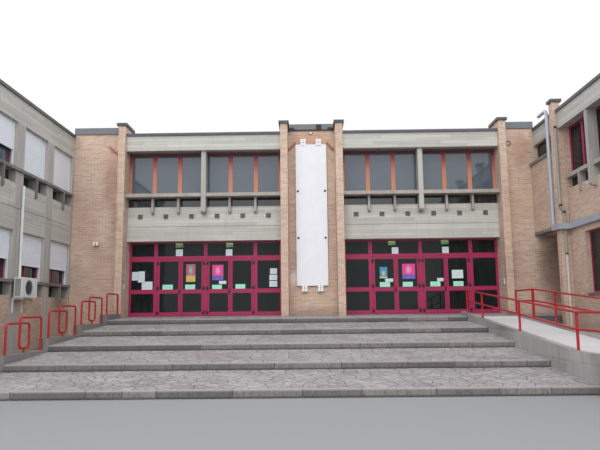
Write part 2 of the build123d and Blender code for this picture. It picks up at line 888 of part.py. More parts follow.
# Roller shutters: curtain between two guides, each let down as far as the list says, in shares of the light
shutter_setback = 110
shutter_sheet = 20
guide_width = 50
guide_depth = 60
lower_drops = (0.66, 0.68, 0.6, 0.66, 1, 0.66)
upper_drops = (1, 1, 0.62, 0.8, 1, 0.62)
with BuildPart() as left_wing_shutters:
    for bay, (low, high) in enumerate(left_windows):
        for (sill, head), drops in zip(left_storeys, (lower_drops, upper_drops)):
            drop = drops[bay % len(drops)] * (head - sill)
            plate(left_court, shutter_setback, guide_depth, (low, sill), (low + guide_width, head))
            plate(left_court, shutter_setback, guide_depth, (high - guide_width, sill), (high, head))
            plate(
                left_court,
                shutter_setback + (guide_depth - shutter_sheet) / 2,
                shutter_sheet,
                (low + guide_width, head - drop),
                (high - guide_width, head),
            )
save(left_wing_shutters, "left_wing_shutters")

# Right wing: brick walls between the piers, porch recess and stair light beside the entrance
right_ground_window = 2 * module
lintel_height = 110
stair_sill_height = 100
ground_sill_height = 70
sill_overhang = 60
riser_room = 200
porch_span = (-side_wall_setback, -right_first_pier)


# Corners of the ground floor window in a bay
def ground_window(low, high):
    middle = (low + high) / 2
    half = right_ground_window / 2
    return (middle - half, right_lower_sill), (middle + half, right_lower_head)


with BuildPart() as right_wing_walls:
    for (_, start), (end, _) in zip(right_piers, right_piers[1:]):
        plate(right_court, right_spandrel_setback, wall, (start, 0), (end, spandrel_top))
    first_window = right_windows[0][0]
    plate(right_court, right_spandrel_setback, wall, (right_piers[0][1], spandrel_top), (first_window, band_bottom))
    for low, high in right_windows:
        corners = ground_window(low, high)
        plate(right_court, right_spandrel_setback, wall, *corners, Mode.SUBTRACT)
        sill = ((corners[0][0], right_lower_sill - ground_sill_height), (corners[1][0], right_lower_sill))
        plate(right_court, right_spandrel_setback, wall, *sill, Mode.SUBTRACT)
    stair_wall_top = stair_light_sill - stair_sill_height
    plate(right_court, 0, wall, (porch_span[0], porch_head + lintel_height), (porch_span[1], stair_wall_top))
    plate(right_court, porch_depth, wall, (porch_span[0], 0), (porch_span[1], band_bottom))
    plate(
        right_court,
        wall,
        porch_depth - wall,
        (porch_span[0], porch_head),
        (porch_span[1], porch_head + wall),
    )
save(right_wing_walls, "right_wing_walls")

# Lintel over the porch, sill of the stair light and sills of the ground floor windows
with BuildPart() as right_wing_sills:
    plate(right_court, 0, wall, (porch_span[0], porch_head), (porch_span[1], porch_head + lintel_height))
    sill_end = porch_span[1] - riser_room
    plate(
        right_court,
        -sill_overhang,
        wall + sill_overhang,
        (porch_span[0], stair_wall_top),
        (sill_end, stair_light_sill),
    )
    plate(right_court, 0, wall, (sill_end, stair_wall_top), (porch_span[1], stair_light_sill))
    for low, high in right_windows:
        opening = ground_window(low, high)
        corners = ((opening[0][0], right_lower_sill - ground_sill_height), (opening[1][0], right_lower_sill))
        plate(right_court, right_spandrel_setback - sill_overhang, wall + sill_overhang, *corners)
save(right_wing_sills, "right_wing_sills")

with BuildPart() as right_wing_frames:
    for low, high in right_windows:
        corners = ((low, shelf_top), (high, band_bottom))
        window_frame(right_court, right_window_setback, *corners, right_bay_modules, wide_bars)
        window_frame(right_court, right_window_setback, *ground_window(low, high), 2)
save(right_wing_frames, "right_wing_frames")

with BuildPart() as right_wing_glass:
    for low, high in right_windows:
        corners = ((low, shelf_top), (high, band_bottom))
        window_panes(right_court, right_window_setback, *corners, right_bay_modules, wide_bars)
        window_panes(right_court, right_window_setback, *ground_window(low, high), 2)
        plate(right_court, right_window_setback, glass, (low, spandrel_top), (high, shelf_bottom))
    plate(right_court, wall, glass, (porch_span[0], stair_light_sill), (porch_span[1], band_bottom))
save(right_wing_glass, "right_wing_glass")

# Zinc air duct: a round riser behind the first pier, and a box duct round the pier and along the wall
duct_radius = 60
duct_bend = 150
duct_bottom = 4200
duct_top = 4400
duct_size = 110
duct_clearance = 5
riser_place = (right_pier_face - duct_radius - duct_clearance, right_first_pier + 70)
riser_top = coping_top + 90
riser_back = right_first_pier + 800
duct_turn = right_first_pier - pier_width - 2 * duct_size
with BuildPart() as air_duct:
    corners = [(*riser_place, duct_top), (*riser_place, riser_top), (riser_place[0], riser_back, riser_top)]
    with BuildLine() as riser_path:
        FilletPolyline(*corners, radius=duct_bend)
    with BuildSketch(Plane(origin=corners[0], z_dir=(0, 0, 1))):
        Circle(duct_radius)
    sweep(path=riser_path.line)
    with BuildSketch(Plane.XY.offset(duct_bottom)):
        rectangle((right_pier_face - 2 * duct_radius - duct_clearance, duct_turn), (right_pier_face, riser_place[1] + duct_radius))
        rectangle((right_pier_face - duct_radius, duct_turn), (right_wall_face, duct_turn + duct_size))
        rectangle((right_wall_face - duct_size, -right_piers[1][0]), (right_wall_face, duct_turn + duct_size))
    extrude(amount=duct_top - duct_bottom)
save(air_duct, "air_duct")

# Grey downpipe on the near face of the first pier, with an offset between its two lengths
pipe_radius = 45
pipe_gap = 8
pipe_top = 7770
pipe_step = 4900
pipe_offset = 110
pipe_bend = 60
clip_width = 40
upper_clips = (7680, 5060)
lower_clips = (4700, 3000, 1300)
with BuildPart() as downpipe:
    pipe_x = right_pier_face + pipe_radius + pipe_gap
    pipe_y = right_first_pier - pier_width - pipe_radius - pipe_gap
    corners = [
        (pipe_x, pipe_y, pipe_top),
        (pipe_x, pipe_y, pipe_step + pipe_offset / 2),
        (pipe_x + pipe_offset, pipe_y, pipe_step - pipe_offset / 2),
        (pipe_x + pipe_offset, pipe_y, 0),
    ]
    with BuildLine() as pipe_path:
        FilletPolyline(*corners, radius=pipe_bend)
    with BuildSketch(Plane(origin=corners[0], z_dir=(0, 0, -1))):
        Circle(pipe_radius)
    sweep(path=pipe_path.line)
    for x, levels in ((pipe_x, upper_clips), (pipe_x + pipe_offset, lower_clips)):
        for level in levels:
            low = (x - clip_width / 2, pipe_y)
            high = (x + clip_width / 2, right_first_pier - pier_width)
            block(low, high, level, level + clip_width)
save(downpipe, "downpipe")

# Cooling unit on two wall brackets, with the round mouth of its fan, and its white drain pipe
unit_near = -4300
unit_length = 1050
unit_depth = 250
unit_height = 610
unit_bottom = 2080
unit_gap = 100
unit_edge = 12
fan_radius = 230
fan_depth = 40
fan_place = 470
arm_width = 40
arm_height = 50
arm_foot = 1620
drain_radius = 42
drain_place = (left_court_face + 50, -3860)
drain_bottom = 2640
drain_top = 5560
drain_collars = (3630, 5300)
collar_height = 60
collar_rim = 6
with BuildPart() as cooling_unit:
    back = left_court_face + unit_gap
    block((back, unit_near), (back + unit_depth, unit_near + unit_length), unit_bottom, unit_bottom + unit_height)
    fillet(cooling_unit.edges(), unit_edge)
    fan_centre = (back + unit_depth, unit_near + fan_place, unit_bottom + unit_height / 2)
    with BuildSketch(Plane(origin=fan_centre, x_dir=(0, 1, 0), z_dir=(1, 0, 0))):
        Circle(fan_radius)
    extrude(amount=-fan_depth, mode=Mode.SUBTRACT)
    for share in (0.12, 0.72):
        place = unit_near + share * unit_length
        low = (left_court_face, place)
        high = (back + unit_depth - 2 * unit_edge, place + arm_width)
        block(low, high, unit_bottom - arm_height, unit_bottom)
        block(low, (left_court_face + arm_width, place + arm_width), arm_foot, unit_bottom)
    with BuildSketch(Plane.XY.offset(drain_bottom)):
        with Locations(drain_place):
            Circle(drain_radius)
    extrude(amount=drain_top - drain_bottom)
    for level in drain_collars:
        with BuildSketch(Plane.XY.offset(level)):
            with Locations(drain_place):
                Circle(drain_radius + collar_rim)
        extrude(amount=collar_height)
        low = (left_court_face, drain_place[1] - clip_width / 2)
        high = (drain_place[0], drain_place[1] + clip_width / 2)
        block(low, high, level, level + clip_width)
save(cooling_unit, "cooling_unit")

# Outer walls and end walls of brick, with the same two rows of windows
wall_storeys = [(left_lower_sill, left_lower_head), (shelf_top, left_band_bottom)]


# Windows of a wall between two places, centred on it
def wall_windows(low, high):
    count = int((high - low - wall) // left_bay_pitch)
    middle = (low + high) / 2
    first = middle - (count - 1) * left_bay_pitch / 2
    centres = [first + place * left_bay_pitch for place in range(count)]
    return [(centre - left_window_width / 2, centre + left_window_width / 2) for centre in centres]


def pierced_wall(face, low, high):
    plate(face, 0, wall, (low, 0), (high, band_top))
    for left, right in wall_windows(low, high):
        for sill, head in wall_storeys:
            plate(face, 0, wall, (left, sill), (right, head), Mode.SUBTRACT)


def wall_glass(face, low, high):
    for left, right in wall_windows(low, high):
        for sill, head in wall_storeys:
            plate(face, (wall - glass) / 2, glass, (left, sill), (right, head))


left_front = Plane(origin=(0, left_end - wall, 0), x_dir=(1, 0, 0), z_dir=(0, -1, 0))
right_front = Plane(origin=(0, right_end - wall, 0), x_dir=(1, 0, 0), z_dir=(0, -1, 0))
with BuildPart() as outer_walls:
    pierced_wall(left_outer, -building_back, -left_end + wall)
    pierced_wall(right_outer, right_end - wall, building_back)
save(outer_walls, "outer_walls")

with BuildPart() as end_walls:
    pierced_wall(rear_face, left_inner, right_inner)
    plate(left_front, 0, wall, (left_inner, 0), (left_court_face, band_top))
    plate(right_front, 0, wall, (right_pier_face, 0), (right_inner, band_top))
save(end_walls, "end_walls")

with BuildPart() as outer_glass:
    wall_glass(left_outer, -building_back, -left_end + wall)
    wall_glass(right_outer, right_end - wall, building_back)
    wall_glass(rear_face, left_inner, right_inner)
save(outer_glass, "outer_glass")

# Copings round the wings and the back, with open joints at the corners
with BuildPart() as roof_copings:
    high = coping_top
    over = coping_overhang
    block(
        (left_outer_face - over, left_end - wall - over),
        (left_inner + over, building_back + over),
        band_top,
        high,
    )
    block(
        (right_inner - over, right_end - wall - over),
        (right_outer_face + over, building_back + over),
        band_top,
        high,
    )
    block(
        (left_inner + over + coping_joint, back_inner - over),
        (right_inner - over - coping_joint, building_back + over),
        band_top,
        high,
    )
    block(
        (left_inner + over + coping_joint, left_end - wall - over),
        (left_court_face + over, left_end + over),
        band_top,
        high,
    )
    block(
        (right_pier_face - over, right_end - wall - over),
        (right_inner - over - coping_joint, right_end - coping_joint - cap_overhang),
        band_top,
        high,
    )
    block(
        (left_court_face - wall - over, left_end + over + coping_joint),
        (left_court_face + over, side_wall_setback - over - coping_joint),
        band_top,
        high,
    )
    for (_, start), (end, _) in zip(right_piers, right_piers[1:]):
        plate(right_court, band_setback - over, wall + 2 * over, (start, band_top), (end, high))
    plate(
        right_court,
        band_setback - over,
        wall + 2 * over,
        (-side_wall_setback + over + coping_joint, band_top),
        (right_piers[0][0], high),
    )
save(roof_copings, "roof_copings")
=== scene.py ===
import json
import math
import random

import bmesh
import bpy
from mathutils import Matrix, Vector


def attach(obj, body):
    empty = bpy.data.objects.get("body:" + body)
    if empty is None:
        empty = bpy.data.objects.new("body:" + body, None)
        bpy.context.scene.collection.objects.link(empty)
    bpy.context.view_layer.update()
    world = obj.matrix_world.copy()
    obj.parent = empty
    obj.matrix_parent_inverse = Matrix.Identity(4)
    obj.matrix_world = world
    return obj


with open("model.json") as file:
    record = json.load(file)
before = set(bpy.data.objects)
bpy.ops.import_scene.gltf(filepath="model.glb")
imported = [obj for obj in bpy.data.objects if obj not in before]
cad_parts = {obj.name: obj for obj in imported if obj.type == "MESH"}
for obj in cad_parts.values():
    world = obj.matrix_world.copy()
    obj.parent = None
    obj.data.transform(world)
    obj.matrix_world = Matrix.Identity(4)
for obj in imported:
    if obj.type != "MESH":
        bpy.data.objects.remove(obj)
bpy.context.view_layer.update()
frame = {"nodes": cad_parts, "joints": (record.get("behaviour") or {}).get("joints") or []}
print("frame loaded,", len(frame["nodes"]), "solids' nodes")

# Camera, at the height of a visitor's eyes in front of the steps
cameraView = {
    "position": (-0.156, -22.9, 1.6),
    "yaw": 0.772,
    "pitch": 7.819,
    "roll": -0.641,
    "lens": 37.37,
    "sensor": 36,
    "clip": (0.1, 400),
}


def placeCamera(setup):
    yaw, pitch, roll = (math.radians(setup[key]) for key in ("yaw", "pitch", "roll"))
    turn = Matrix.Rotation(yaw, 3, "Z")
    ahead = turn @ Vector((0, math.cos(pitch), math.sin(pitch)))
    level = turn @ Vector((1, 0, 0))
    upright = level.cross(ahead)
    right = math.cos(roll) * level + math.sin(roll) * upright
    top = math.cos(roll) * upright - math.sin(roll) * level
    data = bpy.data.cameras.new("visitorCamera")
    data.lens = setup["lens"]
    data.sensor_width = setup["sensor"]
    data.clip_start, data.clip_end = setup["clip"]
    camera = bpy.data.objects.new("visitorCamera", data)
    bpy.context.scene.collection.objects.link(camera)
    facing = Matrix((right, top, -ahead)).transposed().to_4x4()
    camera.matrix_world = Matrix.Translation(setup["position"]) @ facing
    bpy.context.scene.camera = camera


placeCamera(cameraView)
bpy.context.scene.view_settings.view_transform = "Standard"
print("camera placed")

nodeGrid = {"columns": 9, "across": 190, "down": -240}
socketKinds = {"VALUE": "NodeSocketFloat", "VECTOR": "NodeSocketVector", "RGBA": "NodeSocketColor"}


# Node with its settings, and its sockets fed by a value or by another socket
def put(tree, kind, sockets=None, **settings):
    node = tree.nodes.new(kind)
    row, column = divmod(len(tree.nodes), nodeGrid["columns"])
    node.location = (nodeGrid["across"] * column, nodeGrid["down"] * row)
    for key, value in settings.items():
        setattr(node, key, value)
    for key, value in (sockets or {}).items():
        socket = node.inputs[key]
        if isinstance(value, bpy.types.NodeSocket):
            tree.links.new(value, socket)
        else:
            socket.default_value = (*value, 1.0) if socket.type == "RGBA" else value
    return node


def maths(tree, operation, first, second=0.0):
    return put(tree, "ShaderNodeMath", {0: first, 1: second}, operation=operation).outputs[0]


def times(tree, first, second):
    return maths(tree, "MULTIPLY", first, second)


def plus(tree, first, second):
    return maths(tree, "ADD", first, second)


# One where a value lies nearer to a middle than its reach
def within(tree, value, middle, reach):
    away = maths(tree, "ABSOLUTE", maths(tree, "SUBTRACT", value, middle))
    return maths(tree, "LESS_THAN", away, reach)


def mixed(tree, share, first, second, blend="MIX"):
    sockets = {0: share, 6: first, 7: second}
    return put(tree, "ShaderNodeMix", sockets, data_type="RGBA", blend_type=blend).outputs[2]


# Colour with a tone laid over it where a mask shows
def layered(tree, colour, mask, share, tone):
    return mixed(tree, times(tree, mask, share), colour, tone)


def spread(tree, value, low, high, start=0.0, end=1.0):
    sockets = {0: value, 1: low, 2: high, 3: start, 4: end}
    return put(tree, "ShaderNodeMapRange", sockets).outputs[0]


def noise(tree, vector, scale, detail=3.0, rough=0.55):
    sockets = {"Vector": vector, "Scale": scale, "Detail": detail, "Roughness": rough}
    return put(tree, "ShaderNodeTexNoise", sockets).outputs[0]


def vectors(tree, operation, first, second):
    return put(tree, "ShaderNodeVectorMath", {0: first, 1: second}, operation=operation).outputs[0]


def joined(tree, *parts):
    return put(tree, "ShaderNodeCombineXYZ", dict(enumerate(parts))).outputs[0]


def parted(tree, vector):
    return put(tree, "ShaderNodeSeparateXYZ", {0: vector}).outputs


def coordinates(tree, kind="Object"):
    return put(tree, "ShaderNodeTexCoord").outputs[kind]


# A node group: each input is a number with its first value, or the kind of a vector or colour
def makeGroup(name, inputs):
    group = bpy.data.node_groups.new(name, "ShaderNodeTree")
    for label, start in inputs.items():
        kind = start if isinstance(start, str) else "VALUE"
        socket = group.interface.new_socket(name=label, in_out="INPUT", socket_type=socketKinds[kind])
        if kind == "VALUE":
            socket.default_value = start
    return group, group.nodes.new("NodeGroupInput").outputs


def finishGroup(group, results):
    for label, result in results.items():
        group.interface.new_socket(name=label, in_out="OUTPUT", socket_type=socketKinds[result.type])
    exits = group.nodes.new("NodeGroupOutput").inputs
    for label, result in results.items():
        group.links.new(result, exits[label])
    return group


def useGroup(tree, group, **sockets):
    return put(tree, "ShaderNodeGroup", sockets, node_tree=group).outputs


# A group that works from the place on the wall
def onWall(tree, where, group, **sockets):
    return useGroup(tree, group, Place=where["Place"], **sockets)


sideShift = 7.3  # keeps the pattern of side faces apart from that of fronts


# Place on a wall in metres: along it and up, or across the plan where it lies flat
def makeWallPlace():
    group, _ = makeGroup("wallPlace", {})
    place = parted(group, coordinates(group))
    turned = parted(group, put(group, "ShaderNodeNewGeometry").outputs["True Normal"])
    sideways = maths(group, "GREATER_THAN", maths(group, "ABSOLUTE", turned[0]), 0.5)
    flat = maths(group, "GREATER_THAN", maths(group, "ABSOLUTE", turned[2]), 0.5)
    along = spread(group, sideways, 0.0, 1.0, place[0], place[1])
    up = spread(group, flat, 0.0, 1.0, place[2], place[1])
    results = {
        "Place": joined(group, along, up, times(group, sideways, sideShift)),
        "Height": place[2],
        "Upward": maths(group, "MAXIMUM", turned[2], 0.0),
    }
    return finishGroup(group, results)


# Dirt: streaks that run down and broad patches
def makeWeathering():
    group, given = makeGroup("weathering", {"Place": "VECTOR", "Streaks": 0.5, "Patches": 0.5})
    runs = noise(group, vectors(group, "MULTIPLY", given["Place"], (4.5, 0.35, 1.0)), 1.0, 5.0, 0.6)
    fine = noise(group, vectors(group, "MULTIPLY", given["Place"], (14.0, 0.9, 1.0)), 1.0, 3.0, 0.6)
    streak = times(group, spread(group, runs, 0.48, 0.78), spread(group, fine, 0.3, 0.7))
    patch = spread(group, noise(group, given["Place"], 0.55, 6.0, 0.62), 0.42, 0.72)
    streaks = times(group, streak, given["Streaks"])
    patches = times(group, patch, given["Patches"])
    return finishGroup(group, {"Dirt": maths(group, "MAXIMUM", streaks, patches), "Patch": patch})


# Mineral grain for brick, stone and concrete
def makeGrain():
    group, given = makeGroup("mineralGrain", {"Place": "VECTOR", "Size": 0.01})
    scale = maths(group, "DIVIDE", 0.4, given["Size"])
    grain = noise(group, given["Place"], scale, 4.0, 0.7)
    sockets = {"Vector": given["Place"], "Scale": scale, "Randomness": 1.0}
    cells = put(group, "ShaderNodeTexVoronoi", sockets).outputs["Distance"]
    return finishGroup(group, {"Grain": grain, "Pores": spread(group, cells, 0.12, 0.28, 1.0, 0.0)})


# Coursed brickwork, half a brick over half a brick
def makeBrickwork():
    colours = {"Brick": "RGBA", "Pale": "RGBA", "Joint": "RGBA"}
    group, given = makeGroup("brickwork", {"Place": "VECTOR", **colours, "Length": 0.26, "Course": 0.07})
    wave = noise(group, given["Place"], 1.7, 2.0)
    shift = joined(group, 0.0, spread(group, wave, 0.0, 1.0, -0.006, 0.006))
    sockets = {
        "Vector": vectors(group, "ADD", given["Place"], shift),
        "Color1": given["Brick"],
        "Color2": given["Pale"],
        "Mortar": given["Joint"],
        "Scale": 1.0,
        "Mortar Size": 0.0055,
        "Mortar Smooth": 0.25,
        "Bias": 0.0,
        "Brick Width": given["Length"],
        "Row Height": given["Course"],
    }
    bricks = put(group, "ShaderNodeTexBrick", sockets, offset=0.5, offset_frequency=2).outputs
    raised = maths(group, "SUBTRACT", 1.0, bricks["Fac"])
    return finishGroup(group, {"Colour": bricks["Color"], "Relief": raised})


# Marks of the boards that the concrete was cast in
def makeBoardMarks():
    group, given = makeGroup("boardMarks", {"Place": "VECTOR", "Board": 0.12, "Upright": 0.0})
    place = parted(group, given["Place"])
    across = spread(group, given["Upright"], 0.0, 1.0, place[1], place[0])
    along = spread(group, given["Upright"], 0.0, 1.0, place[0], place[1])
    count = maths(group, "DIVIDE", across, given["Board"])
    board = maths(group, "FLOOR", count)
    share = maths(group, "FRACT", count)
    edge = maths(group, "MINIMUM", share, maths(group, "SUBTRACT", 1.0, share))
    offset = put(group, "ShaderNodeTexWhiteNoise", {"W": board}, noise_dimensions="1D").outputs[0]
    length = plus(group, maths(group, "DIVIDE", along, 2.6), times(group, offset, 5.0))
    cell = joined(group, board, maths(group, "FLOOR", length))
    tone = put(group, "ShaderNodeTexWhiteNoise", {"Vector": cell}, noise_dimensions="2D").outputs[0]
    wood = joined(group, times(group, along, 1.3), times(group, across, 30.0), tone)
    seam = spread(group, edge, 0.0, 0.055, 1.0, 0.0)
    return finishGroup(group, {"Tone": tone, "Seam": seam, "Grain": noise(group, wood, 1.0, 4.0, 0.65)})


# Split stones laid without courses
def makeCrazyPaving():
    group, given = makeGroup("crazyPaving", {"Place": "VECTOR", "Stone": 0.35, "Gap": 0.03})
    sockets = {"Vector": given["Place"], "Scale": 3.0, "Detail": 2.0}
    bend = put(group, "ShaderNodeTexNoise", sockets).outputs[1]
    small = put(group, "ShaderNodeVectorMath", {0: bend, "Scale": 0.16}, operation="SCALE").outputs[0]
    bent = vectors(group, "ADD", given["Place"], small)
    sockets = {"Vector": bent, "Scale": maths(group, "DIVIDE", 1.0, given["Stone"]), "Randomness": 1.0}
    cells = put(group, "ShaderNodeTexVoronoi", sockets, voronoi_dimensions="2D").outputs["Color"]
    kind = {"voronoi_dimensions": "2D", "feature": "DISTANCE_TO_EDGE"}
    edges = put(group, "ShaderNodeTexVoronoi", sockets, **kind).outputs["Distance"]
    tone = put(group, "ShaderNodeSeparateColor", {0: cells}).outputs[0]
    return finishGroup(group, {"Tone": tone, "Gaps": spread(group, edges, 0.0, given["Gap"], 1.0, 0.0)})


# Dust that settles on what faces up, and wear of a paint film
def makePaintFilm():
    group, given = makeGroup("paintFilm", {"Place": "VECTOR", "Dust": 0.3, "Upward": 0.0})
    cloud = noise(group, given["Place"], 2.2, 5.0, 0.6)
    speck = noise(group, given["Place"], 60.0, 2.0, 0.6)
    lying = plus(group, times(group, given["Upward"], 0.8), 0.2)
    dust = times(group, times(group, spread(group, speck, 0.3, 0.8), lying), given["Dust"])
    return finishGroup(group, {"Dust": dust, "Fade": spread(group, cloud, 0.3, 0.75)})


court = {"halfWidth": 12.0, "back": 2.0, "front": -30.0}


# Patch with a ragged edge round a place on a wall of the forecourt, used for stains and for painted shade
def makeSpot():
    inputs = {"Place": "VECTOR", "Centre": "VECTOR", "Reach": "VECTOR", "Front": court["front"]}
    group, given = makeGroup("stainSpot", inputs)
    away = vectors(group, "SUBTRACT", given["Place"], given["Centre"])
    scaled = vectors(group, "DIVIDE", away, given["Reach"])
    far = put(group, "ShaderNodeVectorMath", {0: scaled}, operation="LENGTH").outputs["Value"]
    ragged = plus(group, far, noise(group, given["Place"], 2.4, 4.0, 0.65))
    plan = parted(group, coordinates(group))
    inside = within(group, plan[0], 0.0, court["halfWidth"])
    inside = times(group, inside, maths(group, "LESS_THAN", plan[1], court["back"]))
    inside = times(group, inside, maths(group, "GREATER_THAN", plan[1], given["Front"]))
    return finishGroup(group, {"Mask": times(group, spread(group, ragged, 0.95, 1.5, 1.0, 0.0), inside)})


wallPlace = makeWallPlace()
stainSpot = makeSpot()
weathering = makeWeathering()
mineralGrain = makeGrain()
brickwork = makeBrickwork()
boardMarks = makeBoardMarks()
crazyPaving = makeCrazyPaving()
paintFilm = makePaintFilm()
print("shared shader groups built")

finishes = {}


# Material kept under its name, with its Principled shader ready for its nodes
def newMaterial(name, roughness, sockets=None):
    material = bpy.data.materials.new(name)
    material.use_nodes = True
    finishes[name] = material
    tree = material.node_tree
    shader = tree.nodes["Principled BSDF"]
    for key, value in {"Roughness": roughness, **(sockets or {})}.items():
        shader.inputs[key].default_value = value
    return tree, shader


# The same for a surface that is worked from its place on the wall
def newSurface(name, roughness, sockets=None):
    tree, shader = newMaterial(name, roughness, sockets)
    return tree, shader, useGroup(tree, wallPlace)


def grainOn(tree, where, size):
    return onWall(tree, where, mineralGrain, Size=size)


def dirtOn(tree, where, streaks, patches):
    return onWall(tree, where, weathering, Streaks=streaks, Patches=patches)


def relief(tree, shader, height, depth):
    sockets = {"Height": height, "Distance": depth, "Strength": 1.0}
    tree.links.new(put(tree, "ShaderNodeBump", sockets).outputs[0], shader.inputs["Normal"])


def paint(tree, shader, colour, roughness=None):
    tree.links.new(colour, shader.inputs["Base Color"])
    if roughness is not None:
        tree.links.new(roughness, shader.inputs["Roughness"])


# Each spot that tints the brick, with painted shade where a comment says so: its centre and reach on the
# wall, its tone, its share, and how far forward it goes
brickFinish = {
    "brick": (0.51, 0.345, 0.26),
    "pale": (0.67, 0.495, 0.375),
    "joint": (0.72, 0.64, 0.55),
    "soot": (0.25, 0.18, 0.15),
    "rust": (0.47, 0.27, 0.21),
    "length": 0.25,
    "course": 0.07,
    "sootTop": 1.9,
    "spots": (
        ((-7.62, 6.5, 0.0), (0.34, 1.25, 1.0), (0.36, 0.19, 0.14), 0.5, court["front"]),
        ((-7.45, 5.1, 0.0), (0.25, 0.8, 1.0), (0.36, 0.20, 0.15), 0.35, court["front"]),
        ((-0.75, 2.8, 0.0), (0.2, 0.3, 1.0), (0.85, 0.76, 0.62), 0.8, court["front"]),
        ((0.0, 1.4, 0.0), (1.2, 0.4, 1.0), (0.25, 0.18, 0.15), 0.5, court["front"]),
        # side faces made darker round this place
        ((-0.6, 2.75, sideShift), (0.9, 1.7, 1.0), (0.17, 0.125, 0.105), 0.72, court["front"]),
        ((7.9, 7.6, 0.0), (0.5, 0.9, 1.0), (0.42, 0.22, 0.16), 0.5, court["front"]),
        # painted shade: the back wall of the porch darkened towards its inner end, inside the porch only
        ((9.1, 3.0, 0.0), (1.0, 1.6, 1.0), (0.13, 0.08, 0.06), 0.62, -1.5),
        ((0.0, 8.25, 0.0), (0.85, 0.5, 1.0), (0.54, 0.24, 0.15), 0.4, court["front"]),
    ),
}


def makeBrick(finish):
    tree, shader, where = newSurface("tanBrick", 0.9)
    colours = {"Brick": finish["brick"], "Pale": finish["pale"], "Joint": finish["joint"]}
    bricks = onWall(tree, where, brickwork, Length=finish["length"], Course=finish["course"], **colours)
    dirt = dirtOn(tree, where, 0.55, 0.35)
    grain = grainOn(tree, where, 0.006)
    patches = noise(tree, vectors(tree, "MULTIPLY", where["Place"], (0.55, 0.3, 1.0)), 1.0, 3.0, 0.5)
    colour = mixed(tree, spread(tree, patches, 0.45, 0.75, 0.0, 0.45), bricks["Colour"], finish["rust"])
    colour = layered(tree, colour, dirt["Dirt"], 0.55, finish["soot"])
    for centre, reach, tone, share, front in finish["spots"]:
        spot = onWall(tree, where, stainSpot, Centre=centre, Reach=reach, Front=front)
        colour = layered(tree, colour, spot["Mask"], share, tone)
    foot = spread(tree, where["Height"], 0.0, finish["sootTop"], 0.35, 0.0)
    colour = mixed(tree, foot, colour, finish["soot"])
    speckle = spread(tree, grain["Grain"], 0.25, 0.75, 0.86, 1.1)
    shade = put(tree, "ShaderNodeCombineColor", {0: speckle, 1: speckle, 2: speckle}).outputs[0]
    paint(tree, shader, mixed(tree, 1.0, colour, shade, "MULTIPLY"))
    relief(tree, shader, plus(tree, bricks["Relief"], times(tree, grain["Grain"], 0.35)), 0.006)


# Cast concrete: width and run of the boards, and how strong the seams, streaks and patches are
concretes = {
    "boardConcrete": {
        "pale": (0.60, 0.585, 0.53), "dark": (0.43, 0.42, 0.39), "stain": (0.19, 0.18, 0.16),
        "board": 0.115, "upright": 0.0, "seam": 0.45, "streaks": 0.55, "patches": 0.3,
    },
    "castConcrete": {
        "pale": (0.52, 0.495, 0.46), "dark": (0.41, 0.385, 0.36), "stain": (0.16, 0.15, 0.135),
        "board": 0.1, "upright": 1.0, "seam": 0.2, "streaks": 0.6, "patches": 0.3,
    },
    "sillConcrete": {
        "pale": (0.27, 0.26, 0.245), "dark": (0.17, 0.165, 0.155), "stain": (0.06, 0.06, 0.055),
        "board": 0.6, "upright": 1.0, "seam": 0.2, "streaks": 0.7, "patches": 0.7,
    },
    "shelfConcrete": {
        "pale": (0.48, 0.43, 0.39), "dark": (0.365, 0.33, 0.30), "stain": (0.13, 0.11, 0.095),
        "board": 0.1, "upright": 1.0, "seam": 0.2, "streaks": 0.6, "patches": 0.4,
    },
    "curbConcrete": {
        "pale": (0.27, 0.262, 0.25), "dark": (0.19, 0.185, 0.175), "stain": (0.075, 0.075, 0.065),
        "board": 0.5, "upright": 0.0, "seam": 0.1, "streaks": 0.8, "patches": 0.6,
    },
    "rampWall": {
        "pale": (0.46, 0.445, 0.43), "dark": (0.33, 0.32, 0.31), "stain": (0.10, 0.10, 0.085),
        "board": 0.5, "upright": 0.0, "seam": 0.1, "streaks": 1.0, "patches": 0.8,
    },
    "rampConcrete": {
        "pale": (0.66, 0.65, 0.655), "dark": (0.60, 0.585, 0.59), "stain": (0.40, 0.385, 0.385),
        "board": 1.1, "upright": 0.0, "seam": 0.3, "streaks": 0.3, "patches": 0.4,
    },
}


def makeConcrete(name, finish):
    tree, shader, where = newSurface(name, 0.88)
    marks = onWall(tree, where, boardMarks, Board=finish["board"], Upright=finish["upright"])
    dirt = dirtOn(tree, where, finish["streaks"], finish["patches"])
    grain = grainOn(tree, where, 0.01)
    colour = mixed(tree, spread(tree, marks["Tone"], 0.0, 1.0, 0.0, 0.75), finish["pale"], finish["dark"])
    shares = {marks["Grain"]: 0.22, marks["Seam"]: finish["seam"], dirt["Dirt"]: 0.8, grain["Pores"]: 0.14}
    for mask, share in shares.items():
        colour = layered(tree, colour, mask, share, finish["stain"])
    paint(tree, shader, colour)
    height = maths(tree, "SUBTRACT", times(tree, marks["Grain"], 0.5), marks["Seam"])
    relief(tree, shader, maths(tree, "SUBTRACT", height, times(tree, grain["Pores"], 0.4)), 0.004)


pavingFinish = {
    "pale": (0.37, 0.343, 0.346),
    "dark": (0.25, 0.22, 0.227),
    "gap": (0.085, 0.078, 0.076),
    "lichen": (0.56, 0.53, 0.52),
    "stone": 0.30,
    "joint": 0.05,
}
